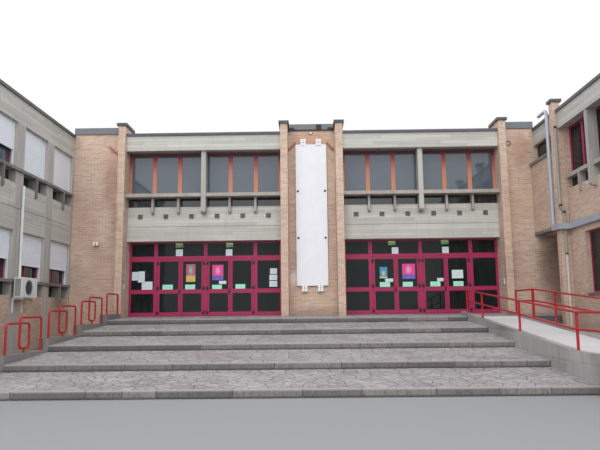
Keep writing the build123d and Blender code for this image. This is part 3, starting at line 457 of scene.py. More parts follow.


# Split porphyry; faces that don't look up are painted dark as shade, because they lie in shadow behind the
# stones of the step fronts
def makePaving(finish):
    tree, shader, where = newSurface("porphyryPaving", 0.82)
    stones = onWall(tree, where, crazyPaving, Stone=finish["stone"], Gap=finish["joint"])
    grain = grainOn(tree, where, 0.012)
    dirt = dirtOn(tree, where, 0.0, 1.0)
    chips = noise(tree, where["Place"], 9.0, 6.0, 0.75)
    colour = mixed(tree, stones["Tone"], finish["pale"], finish["dark"])
    colour = layered(tree, colour, dirt["Dirt"], 0.35, finish["lichen"])
    colour = mixed(tree, spread(tree, chips, 0.5, 0.68, 0.0, 0.45), colour, finish["lichen"])
    colour = mixed(tree, spread(tree, chips, 0.5, 0.34, 0.0, 0.5), colour, finish["gap"])
    colour = layered(tree, colour, grain["Grain"], 0.3, finish["dark"])
    colour = layered(tree, colour, stones["Gaps"], 0.85, finish["gap"])
    # painted shade on faces that don't look up
    colour = mixed(tree, spread(tree, where["Upward"], 0.0, 0.5, 0.85, 0.0), colour, finish["gap"])
    paint(tree, shader, colour, spread(tree, grain["Grain"], 0.2, 0.8, 0.7, 0.9))
    relief(tree, shader, maths(tree, "SUBTRACT", times(tree, grain["Grain"], 0.5), stones["Gaps"]), 0.01)


nosingFinish = {
    "pale": (0.27, 0.25, 0.235),
    "dark": (0.13, 0.125, 0.13),
    # stain: dirt and grain, and also the painted shadow at the foot of each block
    "stain": (0.05, 0.046, 0.044),
    # top: painted highlight along the top of each block
    "top": (0.40, 0.375, 0.365),
}


# Stones of the step fronts: each block has its tone, with painted shadow making it dark at its foot and a
# painted highlight making it pale on top
def makeNosingStone(finish):
    tree, shader, where = newSurface("nosingStone", 0.8)
    tone = put(tree, "ShaderNodeAttribute", attribute_name="blockTone").outputs["Fac"]
    rise = put(tree, "ShaderNodeAttribute", attribute_name="blockRise").outputs["Fac"]
    grain = grainOn(tree, where, 0.01)
    dirt = dirtOn(tree, where, 0.9, 0.5)
    speck = noise(tree, vectors(tree, "MULTIPLY", where["Place"], (22.0, 7.0, 1.0)), 1.0, 4.0, 0.7)
    colour = mixed(tree, tone, finish["pale"], finish["dark"])
    colour = layered(tree, colour, dirt["Dirt"], 0.8, finish["stain"])
    colour = mixed(tree, spread(tree, speck, 0.48, 0.7, 0.0, 0.75), colour, finish["stain"])
    colour = layered(tree, colour, grain["Grain"], 0.35, finish["stain"])
    # painted shadow along the foot of each block
    colour = mixed(tree, spread(tree, rise, 0.0, 0.32, 0.95, 0.0), colour, finish["stain"])
    # painted highlight along the top of each block
    paint(tree, shader, mixed(tree, spread(tree, rise, 0.75, 1.0, 0.0, 0.7), colour, finish["top"]))
    relief(tree, shader, grain["Grain"], 0.006)


# Painted metal: an even film that fades in clouds, with dust on top
paints = {
    "crimsonFrame": {
        "colour": (0.36, 0.013, 0.080), "faded": (0.30, 0.014, 0.068),
        "roughness": 0.42, "coat": 0.12, "dust": 0.06,
    },
    "railRed": {
        "colour": (0.44, 0.004, 0.012), "faded": (0.37, 0.006, 0.015),
        "roughness": 0.4, "coat": 0.12, "dust": 0.03,
    },
    "blackMetal": {
        "colour": (0.012, 0.012, 0.014), "faded": (0.025, 0.024, 0.025),
        "roughness": 0.4, "coat": 0.2, "dust": 0.1,
    },
    "whiteEnamel": {
        "colour": (0.86, 0.86, 0.84), "faded": (0.76, 0.76, 0.74),
        "roughness": 0.4, "coat": 0.2, "dust": 0.15,
    },
    "unitEnamel": {
        "colour": (0.76, 0.76, 0.74), "faded": (0.64, 0.64, 0.62),
        "roughness": 0.45, "coat": 0.1, "dust": 0.3,
    },
    "panelWhite": {
        "colour": (0.80, 0.81, 0.85), "faded": (0.74, 0.755, 0.80),
        "roughness": 0.5, "coat": 0.1, "dust": 0.08,
    },
    "clayPipe": {
        "colour": (0.50, 0.19, 0.10), "faded": (0.40, 0.17, 0.10),
        "roughness": 0.7, "coat": 0.0, "dust": 0.3,
    },
}
# What stands out before the door leaves in the entrance is their hinges, which are black
hingePaint = {
    "on": "crimsonFrame",
    "front": 0.9497,
    "back": 0.9,
    "reach": 9.0,
    "black": (0.012, 0.010, 0.012),
}
dustTone = (0.45, 0.42, 0.40)


def makePaint(name, finish):
    coat = {"Coat Weight": finish["coat"], "Coat Roughness": 0.2}
    tree, shader, where = newSurface(name, finish["roughness"], coat)
    film = onWall(tree, where, paintFilm, Dust=finish["dust"], Upward=where["Upward"])
    colour = mixed(tree, film["Fade"], finish["colour"], finish["faded"])
    if name == hingePaint["on"]:
        place = parted(tree, coordinates(tree))
        entrance = within(tree, place[0], 0.0, hingePaint["reach"])
        beyond = times(tree, maths(tree, "GREATER_THAN", place[1], hingePaint["back"]), entrance)
        hinge = times(tree, maths(tree, "LESS_THAN", place[1], hingePaint["front"]), beyond)
        colour = mixed(tree, hinge, colour, hingePaint["black"])
    rough = plus(tree, times(tree, film["Fade"], 0.12), finish["roughness"])
    paint(tree, shader, mixed(tree, film["Dust"], colour, dustTone), rough)
    relief(tree, shader, film["Fade"], 0.001)


upperFrameFinish = {
    "low": (0.50, 0.225, 0.125),
    "middle": (0.45, 0.165, 0.105),
    # high: unfaded crimson, darkened with painted shade of the overhang
    "high": (0.24, 0.03, 0.045),
    "dust": (0.45, 0.40, 0.36),
    "levels": (6.1, 7.0, 7.6),
}


# The upper frames are crimson where the roof edge shades them and bleached to orange lower down; the dark
# crimson at the top is partly painted shade under the overhang
def makeBleachedFrame(finish):
    tree, shader, where = newSurface("bleachedFrame", 0.42)
    film = onWall(tree, where, paintFilm, Dust=0.1, Upward=where["Upward"])
    uneven = plus(tree, where["Height"], times(tree, film["Fade"], 0.25))
    low, middle, high = finish["levels"]
    colour = mixed(tree, spread(tree, uneven, low, middle), finish["low"], finish["middle"])
    # towards the top: unfaded crimson with painted shade of the overhang
    colour = mixed(tree, spread(tree, uneven, middle, high), colour, finish["high"])
    paint(tree, shader, mixed(tree, film["Dust"], colour, finish["dust"]))


# Sheet metal with streaks; above a level some of it has another colour, as zinc has over the dark bands
metals = {
    "copingMetal": {
        "colour": (0.105, 0.105, 0.125), "streak": (0.36, 0.37, 0.39), "metallic": 0.35,
        "above": (8.385, (0.175, 0.185, 0.196)),
    },
    "capMetal": {"colour": (0.075, 0.073, 0.08), "streak": (0.20, 0.20, 0.21), "metallic": 0.0},
    "galvanisedSheet": {"colour": (0.47, 0.52, 0.59), "streak": (0.60, 0.65, 0.72), "metallic": 0.5},
    "greyPipe": {
        "colour": (0.60, 0.57, 0.53), "streak": (0.5, 0.48, 0.45), "metallic": 0.1,
        "above": (3.35, (0.34, 0.325, 0.29)),
    },
    "ventMetal": {"colour": (0.22, 0.215, 0.21), "streak": (0.33, 0.32, 0.31), "metallic": 0.1},
}


def makeMetal(name, finish):
    tree, shader, where = newSurface(name, 0.5, {"Metallic": finish["metallic"]})
    dirt = dirtOn(tree, where, 1.0, 0.4)
    colour = finish["colour"]
    if "above" in finish:
        level, upper = finish["above"]
        colour = mixed(tree, maths(tree, "GREATER_THAN", where["Height"], level), colour, upper)
    colour = layered(tree, colour, dirt["Dirt"], 0.4, finish["streak"])
    paint(tree, shader, colour, spread(tree, dirt["Patch"], 0.0, 1.0, 0.42, 0.62))
    relief(tree, shader, dirt["Patch"], 0.003)


feltFinish = {
    "felt": (0.17, 0.17, 0.175),
    "pale": (0.27, 0.265, 0.26),
    "lap": (0.07, 0.07, 0.07),
    "roll": 1.0,
}


# Roofing felt in rolls of a metre with a lap at each edge
def makeFelt(finish):
    tree, shader, where = newSurface("roofFelt", 0.95)
    grain = grainOn(tree, where, 0.008)
    rolls = onWall(tree, where, boardMarks, Board=finish["roll"])
    dirt = dirtOn(tree, where, 0.2, 1.0)
    colour = layered(tree, finish["felt"], dirt["Dirt"], 0.6, finish["pale"])
    colour = layered(tree, colour, rolls["Seam"], 0.6, finish["lap"])
    paint(tree, shader, layered(tree, colour, grain["Grain"], 0.3, finish["pale"]))
    relief(tree, shader, grain["Grain"], 0.004)


# Glazing: dark seen from outside, with a sheen of the sky, and darker in the shade below the sills
glasses = {
    "upperGlass": {
        "tint": (0.11, 0.14, 0.18), "haze": (0.16, 0.185, 0.215), "index": 1.85, "through": 0.35,
        "below": (5.95, (0.02, 0.025, 0.03)),
    },
    "doorGlass": {"tint": (0.014, 0.022, 0.024), "haze": (0.07, 0.09, 0.085), "index": 1.33, "through": 0.5},
}


def makeGlass(name, finish):
    sockets = {"IOR": finish["index"], "Transmission Weight": finish["through"]}
    tree, shader, where = newSurface(name, 0.03, sockets)
    film = onWall(tree, where, paintFilm, Dust=0.5)
    dirt = dirtOn(tree, where, 0.7, 0.5)
    colour = finish["tint"]
    # painted shade: glass below this level, under the shelf, gets a darker tint
    if "below" in finish:
        level, lower = finish["below"]
        colour = mixed(tree, maths(tree, "LESS_THAN", where["Height"], level), colour, lower)
    rough = plus(tree, times(tree, film["Dust"], 0.15), 0.03)
    paint(tree, shader, layered(tree, colour, dirt["Dirt"], 0.35, finish["haze"]), rough)


shutterFinish = {
    "slat": (0.82, 0.86, 0.92),
    "shade": (0.68, 0.71, 0.77),
    "grime": (0.42, 0.42, 0.43),
    "pitch": 0.048,
}


# Pale slats of the roller shutters
def makeShutterPaint(finish):
    tree, shader, where = newSurface("shutterSlats", 0.45)
    dirt = dirtOn(tree, where, 0.9, 0.3)
    slats = onWall(tree, where, boardMarks, Board=finish["pitch"])
    colour = layered(tree, finish["slat"], slats["Tone"], 0.25, finish["shade"])
    paint(tree, shader, layered(tree, colour, dirt["Dirt"], 0.45, finish["grime"]))


# Sheets with faint lines that stand for rows of print
papers = {
    "noticePaper": {"paper": (0.62, 0.70, 0.72), "print": (0.36, 0.40, 0.43), "strength": 0.7},
    "mintStrip": {"paper": (0.38, 0.78, 0.62), "print": (0.14, 0.50, 0.36), "strength": 0.9},
}


def makePaper(name, finish):
    tree, shader = newMaterial(name, 0.6)
    box = coordinates(tree, "Generated")
    place = parted(tree, box)
    rows = maths(tree, "PINGPONG", times(tree, place[2], 8.0), 0.5)
    inner = times(tree, within(tree, place[0], 0.5, 0.38), within(tree, place[2], 0.5, 0.38))
    lines = times(tree, spread(tree, rows, 0.22, 0.38), inner)
    words = noise(tree, vectors(tree, "MULTIPLY", box, (9.0, 1.0, 8.0)), 1.0, 1.0)
    ink = times(tree, lines, spread(tree, words, 0.42, 0.56))
    paint(tree, shader, layered(tree, finish["paper"], ink, finish["strength"], finish["print"]))


exitFinish = {"green": (0.09, 0.33, 0.10), "pale": (0.72, 0.80, 0.42), "levels": (0.5, 0.62)}


# Green sign with a lit strip along its head
def makeExitSign(finish):
    tree, shader = newMaterial("exitGreen", 0.4)
    box = coordinates(tree, "Generated")
    place = parted(tree, box)
    strip = spread(tree, place[2], *finish["levels"])
    shapes = noise(tree, vectors(tree, "MULTIPLY", box, (7.0, 1.0, 4.0)), 1.0, 1.0)
    figure = spread(tree, shapes, 0.52, 0.6, 0.0, 0.5)
    share = times(tree, maths(tree, "MAXIMUM", strip, figure), within(tree, place[0], 0.5, 0.44))
    paint(tree, shader, mixed(tree, share, finish["green"], finish["pale"]))


# Generic posters: a ground colour, a soft round shape and a band along the foot
posters = {
    "rosePoster": {
        "ground": (0.68, 0.05, 0.25), "round": (0.75, 0.35, 0.50), "foot": (0.10, 0.11, 0.45),
        "fleck": (0.80, 0.12, 0.30), "centre": 0.62, "band": 0.27,
    },
    "tealPoster": {
        "ground": (0.42, 0.10, 0.16), "round": (0.16, 0.48, 0.42), "foot": (0.60, 0.42, 0.10),
        "fleck": (0.70, 0.20, 0.30), "centre": 0.66, "band": 0.33,
    },
    "bluePoster": {
        "ground": (0.05, 0.24, 0.42), "round": (0.45, 0.55, 0.30), "foot": (0.40, 0.50, 0.25),
        "fleck": (0.60, 0.60, 0.15), "centre": 0.45, "band": 0.14,
    },
}


def makePoster(name, finish):
    tree, shader = newMaterial(name, 0.45)
    box = coordinates(tree, "Generated")
    place = parted(tree, box)
    cloud = noise(tree, box, 4.0, 2.0)
    across = maths(tree, "SUBTRACT", place[0], 0.5)
    above = maths(tree, "SUBTRACT", place[2], finish["centre"])
    reach = maths(tree, "SQRT", plus(tree, times(tree, across, across), times(tree, above, above)))
    reach = plus(tree, reach, times(tree, cloud, 0.25))
    colour = mixed(tree, spread(tree, reach, 0.2, 0.42, 1.0, 0.0), finish["ground"], finish["round"])
    band = spread(tree, place[2], finish["band"], finish["band"] + 0.04, 1.0, 0.0)
    colour = mixed(tree, band, colour, finish["foot"])
    paint(tree, shader, mixed(tree, spread(tree, cloud, 0.55, 0.75, 0.0, 0.5), colour, finish["fleck"]))


makeBrick(brickFinish)
makePaving(pavingFinish)
makeNosingStone(nosingFinish)
makeBleachedFrame(upperFrameFinish)
makeFelt(feltFinish)
makeShutterPaint(shutterFinish)
makeExitSign(exitFinish)
families = (
    (makeConcrete, concretes),
    (makePaint, paints),
    (makeMetal, metals),
    (makeGlass, glasses),
    (makePaper, papers),
    (makePoster, posters),
)
for make, members in families:
    for name, finish in members.items():
        make(name, finish)
print("materials built:", len(finishes))

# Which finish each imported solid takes
leaves = [f"door_leaf_{number}" for number in range(1, 9)]
panes = [f"door_glass_{number}" for number in range(1, 9)]
nodeFinishes = {
    "porphyryPaving": ["entrance_steps", "landing"],
    "curbConcrete": ["curb_wall"],
    "rampWall": ["ramp_walls"],
    "railRed": ["curb_hoops", "ramp_handrails"],
    "rampConcrete": ["ramp", "ground_floor", "upper_floor"],
    "tanBrick": [
        "brick_piers", "side_walls", "recess_wall", "left_wing_plinth", "right_wing_walls", "outer_walls",
        "end_walls",
    ],
    "capMetal": ["pier_caps", "roof_copings"],
    "copingMetal": ["entrance_copings"],
    "panelWhite": ["wall_panel"],
    "whiteEnamel": ["panel_clamps"],
    "boardConcrete": ["top_bands", "entrance_spandrels", "left_wing_panels"],
    "shelfConcrete": ["sill_shelves"],
    "castConcrete": ["concrete_fins", "left_wing_pilasters"],
    "sillConcrete": ["left_wing_ledges", "right_wing_sills"],
    "bleachedFrame": ["upper_window_frames"],
    "galvanisedSheet": ["air_duct"],
    "greyPipe": ["downpipe"],
    "unitEnamel": ["cooling_unit"],
    "upperGlass": ["upper_window_glass", "outer_glass", "left_wing_glass"],
    "doorGlass": ["entrance_glass", "right_wing_glass", *panes],
    "crimsonFrame": [
        "left_entrance_frame", "right_entrance_frame", "left_wing_frames", "right_wing_frames", *leaves,
    ],
    "shutterSlats": ["left_wing_shutters"],
    "roofFelt": ["roof_slabs"],
}
for finish, names in nodeFinishes.items():
    for name in names:
        mesh = frame["nodes"][name].data
        mesh.materials.clear()
        mesh.materials.append(finishes[finish])
print("packed solids dressed")


# Piece made of a bmesh, with its finish, its slot and the body that it moves with
def addPiece(name, mesh, finish, body="building", smooth=False):
    data = bpy.data.meshes.new(name)
    mesh.to_mesh(data)
    mesh.free()
    data.materials.append(finishes[finish])
    for face in data.polygons:
        face.use_smooth = smooth
    piece = bpy.data.objects.new(name, data)
    bpy.context.scene.collection.objects.link(piece)
    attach(piece, body)


# Box with eased edges, between two corners
def addBox(mesh, low, high, edge=0.0):
    made = bmesh.ops.create_cube(mesh, size=1.0)["verts"]
    middle = [(low[axis] + high[axis]) / 2 for axis in range(3)]
    reach = [high[axis] - low[axis] for axis in range(3)]
    for vertex in made:
        vertex.co = Vector(middle[axis] + vertex.co[axis] * reach[axis] for axis in range(3))
    if edge:
        edges = {side for vertex in made for side in vertex.link_edges}
        bmesh.ops.bevel(mesh, geom=list(edges), offset=edge, segments=1, affect="EDGES")
    return made


# Corners given from a place
def moved(place, *offsets):
    return [tuple(Vector(place) + Vector(offset)) for offset in offsets]


# Closed round bar between two points
def addTube(mesh, start, end, radius, sides=16):
    start, end = Vector(start), Vector(end)
    turn = (end - start).to_track_quat("Z", "Y").to_matrix().to_4x4()
    place = Matrix.Translation((start + end) / 2) @ turn
    sizes = {"radius1": radius, "radius2": radius, "depth": (end - start).length}
    bmesh.ops.create_cone(mesh, cap_ends=True, segments=sides, matrix=place, **sizes)


def addRing(mesh, centre, normal, radius, tube, around=36, across=8):
    turn = Vector(normal).to_track_quat("Z", "Y").to_matrix().to_4x4()
    place = Matrix.Translation(centre) @ turn
    rings = []
    for step in range(around):
        angle = math.tau * step / around
        outwards = Vector((math.cos(angle), math.sin(angle), 0))
        ring = []
        for side in range(across):
            lean = math.tau * side / across
            point = outwards * (radius + tube * math.cos(lean)) + Vector((0, 0, tube * math.sin(lean)))
            ring.append(mesh.verts.new(place @ point))
        rings.append(ring)
    for first, second in zip(rings, rings[1:] + rings[:1]):
        for side in range(across):
            after = (side + 1) % across
            mesh.faces.new((first[side], second[side], second[after], first[after]))


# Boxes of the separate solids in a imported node, found by following faces that share a corner
def solidBoxes(name):
    data = frame["nodes"][name].data
    places, parent, index = {}, [], []
    for vertex in data.vertices:
        key = tuple(round(value * 2000) for value in vertex.co)
        if key not in places:
            places[key] = len(parent)
            parent.append(len(parent))
        index.append(places[key])

    def root(item):
        while parent[item] != item:
            parent[item] = parent[parent[item]]
            item = parent[item]
        return item

    for face in data.polygons:
        corners = [root(index[vertex]) for vertex in face.vertices]
        for corner in corners[1:]:
            parent[root(corner)] = root(corners[0])
    boxes = {}
    for vertex in data.vertices:
        low, high = boxes.setdefault(root(index[vertex.index]), ([1e9] * 3, [-1e9] * 3))
        for axis in range(3):
            low[axis] = min(low[axis], vertex.co[axis])
            high[axis] = max(high[axis], vertex.co[axis])
    return sorted(boxes.values())


# The steps: front and top of each riser
steps = {"count": 5, "front": -11.06, "run": 2.39, "level": 0.15, "rise": 0.297}
risers = [
    (steps["front"] + step * steps["run"], steps["level"] + step * steps["rise"])
    for step in range(steps["count"])
]

# Stone blocks along the fronts of the steps
nosing = {
    "left": -7.06,
    "right": 5.2,
    "riser": 0.15,
    "foot": 0.004,
    "depth": 0.11,
    "slope": 0.0615,
    "proud": 0.01,
    "gap": 0.014,
    "lengths": (0.45, 1.5),
    "shortest": 0.4,
    "lift": (-0.003, 0.002),
    "seed": 4,
    "edge": 0.006,
}


def makeNosings(sizes):
    rng = random.Random(sizes["seed"])
    mesh = bmesh.new()
    tones = mesh.verts.layers.float.new("blockTone")
    rises = mesh.verts.layers.float.new("blockRise")
    for front, level in risers:
        start = sizes["left"]
        while start < sizes["right"] - sizes["gap"]:
            end = min(start + rng.uniform(*sizes["lengths"]), sizes["right"])
            if sizes["right"] - end < sizes["shortest"]:
                end = sizes["right"]
            foot = level - sizes["riser"] + sizes["foot"]
            low = (start + sizes["gap"] / 2, front - sizes["proud"], foot)
            high = (end - sizes["gap"] / 2, front + sizes["depth"], level + sizes["proud"] / 2)
            made = addBox(mesh, low, high)
            tone = rng.random()
            lift = rng.uniform(*sizes["lift"])
            for vertex in made:
                vertex[tones] = tone
                if vertex.co.z > level:
                    vertex[rises] = 1.0
                    vertex.co.z += (vertex.co.y - front) * sizes["slope"] + lift
            start = end
    bmesh.ops.bevel(mesh, geom=list(mesh.edges), offset=sizes["edge"], segments=1, affect="EDGES")
    addPiece("stepNosings", mesh, "nosingStone")


makeNosings(nosing)
print("step stones laid")

# Sheets, signs and posters on the glass: finish, door or 0 for none, middle along X and up, width, height
notices = {
    "exitSign": (
        ("exitGreen", 0, -5.139, 4.144, 0.305, 0.166),
        ("exitGreen", 0, -3.199, 4.132, 0.289, 0.174),
        ("exitGreen", 0, 3.035, 4.132, 0.299, 0.159),
        ("exitGreen", 0, 5.068, 4.143, 0.305, 0.177),
    ),
    "transomSheet": (
        ("noticePaper", 0, -5.139, 3.859, 0.267, 0.258),
        ("noticePaper", 0, -3.219, 3.848, 0.251, 0.249),
        ("noticePaper", 0, 3.159, 3.844, 0.25, 0.248),
        ("noticePaper", 0, 5.087, 3.838, 0.25, 0.257),
    ),
    "sideSheet": (
        ("noticePaper", 0, -6.84, 2.973, 0.228, 0.322),
        ("noticePaper", 0, -6.587, 2.944, 0.255, 0.423),
        ("noticePaper", 0, -6.362, 2.606, 0.411, 0.306),
        ("noticePaper", 0, -1.51, 3.106, 0.268, 0.213),
        ("noticePaper", 0, -1.52, 2.867, 0.301, 0.204),
        ("noticePaper", 0, -1.521, 2.624, 0.301, 0.221),
    ),
    "mintStrip": (
        ("mintStrip", 1, -5.571, 2.542, 0.395, 0.18),
        ("mintStrip", 2, -4.707, 2.541, 0.38, 0.18),
        ("mintStrip", 3, -3.677, 2.53, 0.371, 0.163),
        ("mintStrip", 4, -2.783, 2.54, 0.37, 0.17),
        ("mintStrip", 5, 2.734, 2.548, 0.389, 0.18),
        ("mintStrip", 6, 3.603, 2.548, 0.38, 0.18),
        ("mintStrip", 7, 4.651, 2.548, 0.38, 0.18),
        ("mintStrip", 8, 5.525, 2.548, 0.38, 0.18),
    ),
    "creamStrip": (
        ("noticePaper", 3, -3.464, 2.7, 0.278, 0.12),
        ("noticePaper", 5, 2.898, 2.71, 0.306, 0.12),
        ("noticePaper", 7, 4.845, 2.71, 0.24, 0.12),
    ),
    "poster": (
        ("tealPoster", 2, -4.689, 3.073, 0.354, 0.677),
        ("rosePoster", 3, -3.648, 3.08, 0.425, 0.584),
        ("bluePoster", 5, 2.691, 3.0, 0.289, 0.431),
        ("rosePoster", 6, 3.652, 3.04, 0.492, 0.577),
    ),
    "doorSheet": (("noticePaper", 8, 5.505, 2.912, 0.425, 0.319),),
}
noticeSizes = {"glassFront": 0.965, "gap": 0.0002, "sheet": 0.0012, "sign": 0.025, "edge": 0.004}


def makeNotices(sheets, sizes):
    for kind, rows in sheets.items():
        for count, (finish, door, x, z, width, height) in enumerate(rows, start=1):
            depth = sizes["sign"] if finish == "exitGreen" else sizes["sheet"]
            mesh = bmesh.new()
            low = (x - width / 2, sizes["glassFront"] - depth, z - height / 2)
            high = (x + width / 2, sizes["glassFront"] - sizes["gap"], z + height / 2)
            addBox(mesh, low, high, min(depth / 3, sizes["edge"]))
            name = kind if len(rows) == 1 else f"{kind}{count}"
            addPiece(name, mesh, finish, f"door_{door}" if door else "building")


makeNotices(notices, noticeSizes)
print("notices up:", sum(len(rows) for rows in notices.values()))

# Each leaf's hinge line, and the side that the leaf reaches to
hinges = {joint["child"]: (joint["pos_m"][0], -joint["axis"][2]) for joint in frame["joints"]}
leafFront = 0.95

# Black lock boxes with short handles, on the free stile of the left leaf of each pair
locks = {
    "doors": ("door_1", "door_3", "door_5", "door_7"),
    "reach": 0.835,
    "level": 2.352,
    "width": 0.062,
    "height": 0.15,
    "depth": 0.018,
    "edge": 0.004,
    "grip": 0.05,
    "drop": 0.1,
    "handle": 0.011,
    "neck": 0.0088,
    "neckInset": 0.015,
}


def makeLocks(sizes):
    for body in sizes["doors"]:
        mesh = bmesh.new()
        x, level = hinges[body][0] + sizes["reach"], sizes["level"]
        half, tall = sizes["width"] / 2, sizes["height"] / 2
        low = (x - half, leafFront - sizes["depth"], level - tall)
        addBox(mesh, low, (x + half, leafFront, level + tall), sizes["edge"])
        out = leafFront - sizes["grip"]
        top, foot = level + sizes["drop"] / 2, level - sizes["drop"] / 2
        addTube(mesh, (x, out, top), (x, out, foot), sizes["handle"])
        for z in (top - sizes["neckInset"], foot + sizes["neckInset"]):
            addTube(mesh, (x, leafFront, z), (x, out, z), sizes["neck"])
        addPiece(f"doorLock{body[-1]}", mesh, "blackMetal", body)


makeLocks(locks)
print("locks fitted")

# Black covers on both plates of each hinge, from near the hinge line to their ends
covers = {
    "levels": (1.5, 2.43, 3.38),
    "height": 0.135,
    "ends": (0.0145, 0.05),
    "front": 0.9405,
    "back": 0.9498,
    "edge": 0.003,
}


def makeHingeCovers(sizes):
    fixed = bmesh.new()
    for body, (x, side) in hinges.items():
        moving = bmesh.new()
        for mesh, way in ((fixed, -side), (moving, side)):
            near, far = sorted(x + way * end for end in sizes["ends"])
            for level in sizes["levels"]:
                high = (far, sizes["back"], level + sizes["height"])
                addBox(mesh, (near, sizes["front"], level), high, sizes["edge"])
        addPiece(f"leafHinges{body[-1]}", moving, "blackMetal", body)
    addPiece("postHinges", fixed, "blackMetal")


makeHingeCovers(covers)
print("hinge covers fitted")

# Small things on the recess: panel bolts, seams of the clamps with a painted shadow line under each clamp,
# lamp, metal of the coping with a black strip under it as painted shadow, clay pipes
recess = {
    "bolts": ((-0.543, 6.181), (0.504, 6.188), (-0.541, 4.359), (0.5, 4.359)),
    "panelFront": 0.85,
    "washer": (0.043, 0.012),
    "bolt": (0.01935, 0.03),
    "plate": ((0.2, 0.885, 8.665), (0.41, 0.9, 8.86), 0.005),
    # strip: black bar under the coping, a painted shadow line
    "strip": ((-0.906, 0.886, 8.625), (0.906, 0.945, 8.652)),
    "flashing": ((0.906, 8.62), (0.72, 8.62), (0.63, 8.69), (0.72, 8.745), (0.906, 8.70)),
    "flashingDepths": (0.868, 0.889),
    "clampSeam": 0.0055,
    "seamProud": 0.002,
    "clampLip": 0.06,
    "lamp": (-0.016, 0.95, 8.52),
    "lampRings": ((0.0, 0.04, 0.045), (0.04, 0.055, 0.03375)),
    "lampRim": (0.066, 0.02),
    "pipes": (
        ((-0.886, 0.9, 7.86), (-0.62, 0.9, 8.14)),
        ((0.6, 0.9, 8.14), (0.86, 0.9, 7.83)),
        ((-7.72, 0.17, 7.885), (-7.38, 0.17, 7.625)),
    ),
    "pipeRadius": 0.042,
}


def addFlashing(mesh, sizes, side):
    rows = [
        [mesh.verts.new((side * x, y, z)) for x, z in sizes["flashing"]] for y in sizes["flashingDepths"]
    ]
    faces = [mesh.faces.new(row) for row in rows]
    for place, corner in enumerate(rows[0]):
        after = (place + 1) % len(rows[0])
        faces.append(mesh.faces.new((corner, rows[0][after], rows[1][after], rows[1][place])))
    bmesh.ops.recalc_face_normals(mesh, faces=faces)


def makeClampSeamsAndShadows(sizes):
    mesh = bmesh.new()
    seam, proud = sizes["clampSeam"], sizes["seamProud"]
    for low, high in solidBoxes("panel_clamps"):
        x, z = (low[0] + high[0]) / 2, (low[2] + high[2]) / 2
        near, far = low[1] - proud, low[1] + proud
        addBox(mesh, (x - seam, near, low[2]), (x + seam, far, high[2]))
        addBox(mesh, (low[0], near, z - seam), (high[0], far, z + seam))
        # painted shadow line under the foot of each clamp
        addBox(mesh, (low[0], near, low[2] - seam), (high[0], low[1] + sizes["clampLip"], low[2]))
    addPiece("clampSeams", mesh, "capMetal")


def makeRecessThings(sizes):
    dark, lamp, pipes = bmesh.new(), bmesh.new(), bmesh.new()
    front = sizes["panelFront"]
    (washer, washerDepth), (bolt, boltDepth) = sizes["washer"], sizes["bolt"]
    for x, z in sizes["bolts"]:
        addTube(dark, (x, front, z), (x, front - washerDepth, z), washer, 20)
        addTube(dark, (x, front - washerDepth, z), (x, front - boltDepth, z), bolt, 6)
    addBox(dark, *sizes["plate"])
    # painted shadow line under the coping
    addBox(dark, *sizes["strip"])
    for side in (-1, 1):
        addFlashing(dark, sizes, side)
    x, y, z = sizes["lamp"]
    rim, rimDepth = sizes["lampRim"]
    addTube(dark, (x, y, z), (x, y - rimDepth, z), rim, 24)
    for near, far, radius in sizes["lampRings"]:
        addTube(lamp, (x, y - near, z), (x, y - far, z), radius, 24)
    for start, end in sizes["pipes"]:
        addTube(pipes, start, end, sizes["pipeRadius"])
    makeClampSeamsAndShadows(sizes)
    addPiece("panelBolts", dark, "blackMetal")
    addPiece("recessLamp", lamp, "whiteEnamel")
    addPiece("clayPipes", pipes, "clayPipe")


makeRecessThings(recess)
print("recess details added")

# Fittings on the side walls and piers: twin lamp with boxes given from its place, cable ring and intercoms
wallFittings = {
    "lampPlace": (-8.14, 0.3, 4.16),
    "lampArm": ((-0.06, -0.04, 0.01), (0.06, 0.0, 0.08)),
    "lampBack": ((-0.075, -0.03, -0.075), (0.075, 0.0, 0.01)),
    "lampHead": ((-0.034, -0.12, -0.07), (0.034, -0.035, 0.07)),
    "lampEdges": (0.01, 0.008),
    "headOffset": 0.048,
    "headFlare": (0.012, 0.015),
    "ringPlace": (7.49, 0.28, 7.82),
    "ringNormal": (0, 1, 0.15),
    "ringRadius": 0.085,
    "ringTube": 0.013,
    "intercoms": (((-7.06, 0.2, 2.44), (-7.02, 0.31, 2.64)), ((7.025, 0.2, 2.47), (7.06, 0.31, 2.7))),
    "intercomEdge": 0.006,
    "buttons": {"count": 4, "first": 0.035, "pitch": 0.03, "radius": 0.009, "proud": 0.004},
}


def makeWallFittings(sizes):
    lamp, dark, intercoms = bmesh.new(), bmesh.new(), bmesh.new()
    place = sizes["lampPlace"]
    armEdge, backEdge = sizes["lampEdges"]
    addBox(lamp, *moved(place, *sizes["lampArm"]), armEdge)
    addBox(dark, *moved(place, *sizes["lampBack"]), backEdge)
    outwards, forwards = sizes["headFlare"]
    for side in (-1, 1):
        middle = (place[0] + side * sizes["headOffset"], *place[1:])
        for vertex in addBox(lamp, *moved(middle, *sizes["lampHead"])):
            if vertex.co.z < place[2]:
                vertex.co.x += side * outwards
                vertex.co.y -= forwards
    addPiece("twinLamp", lamp, "whiteEnamel")
    addRing(dark, sizes["ringPlace"], sizes["ringNormal"], sizes["ringRadius"], sizes["ringTube"])
    addPiece("cableRing", dark, "blackMetal", smooth=True)
    buttons = sizes["buttons"]
    for low, high in sizes["intercoms"]:
        addBox(intercoms, low, high, sizes["intercomEdge"])
        inner, proud = (low[0], -buttons["proud"]) if low[0] > 0 else (high[0], buttons["proud"])
        middle = (low[1] + high[1]) / 2
        for row in range(buttons["count"]):
            level = low[2] + buttons["first"] + row * buttons["pitch"]
            addTube(intercoms, (inner, middle, level), (inner + proud, middle, level), buttons["radius"], 12)
    addPiece("intercoms", intercoms, "greyPipe")


makeWallFittings(wallFittings)
print("wall fittings added")

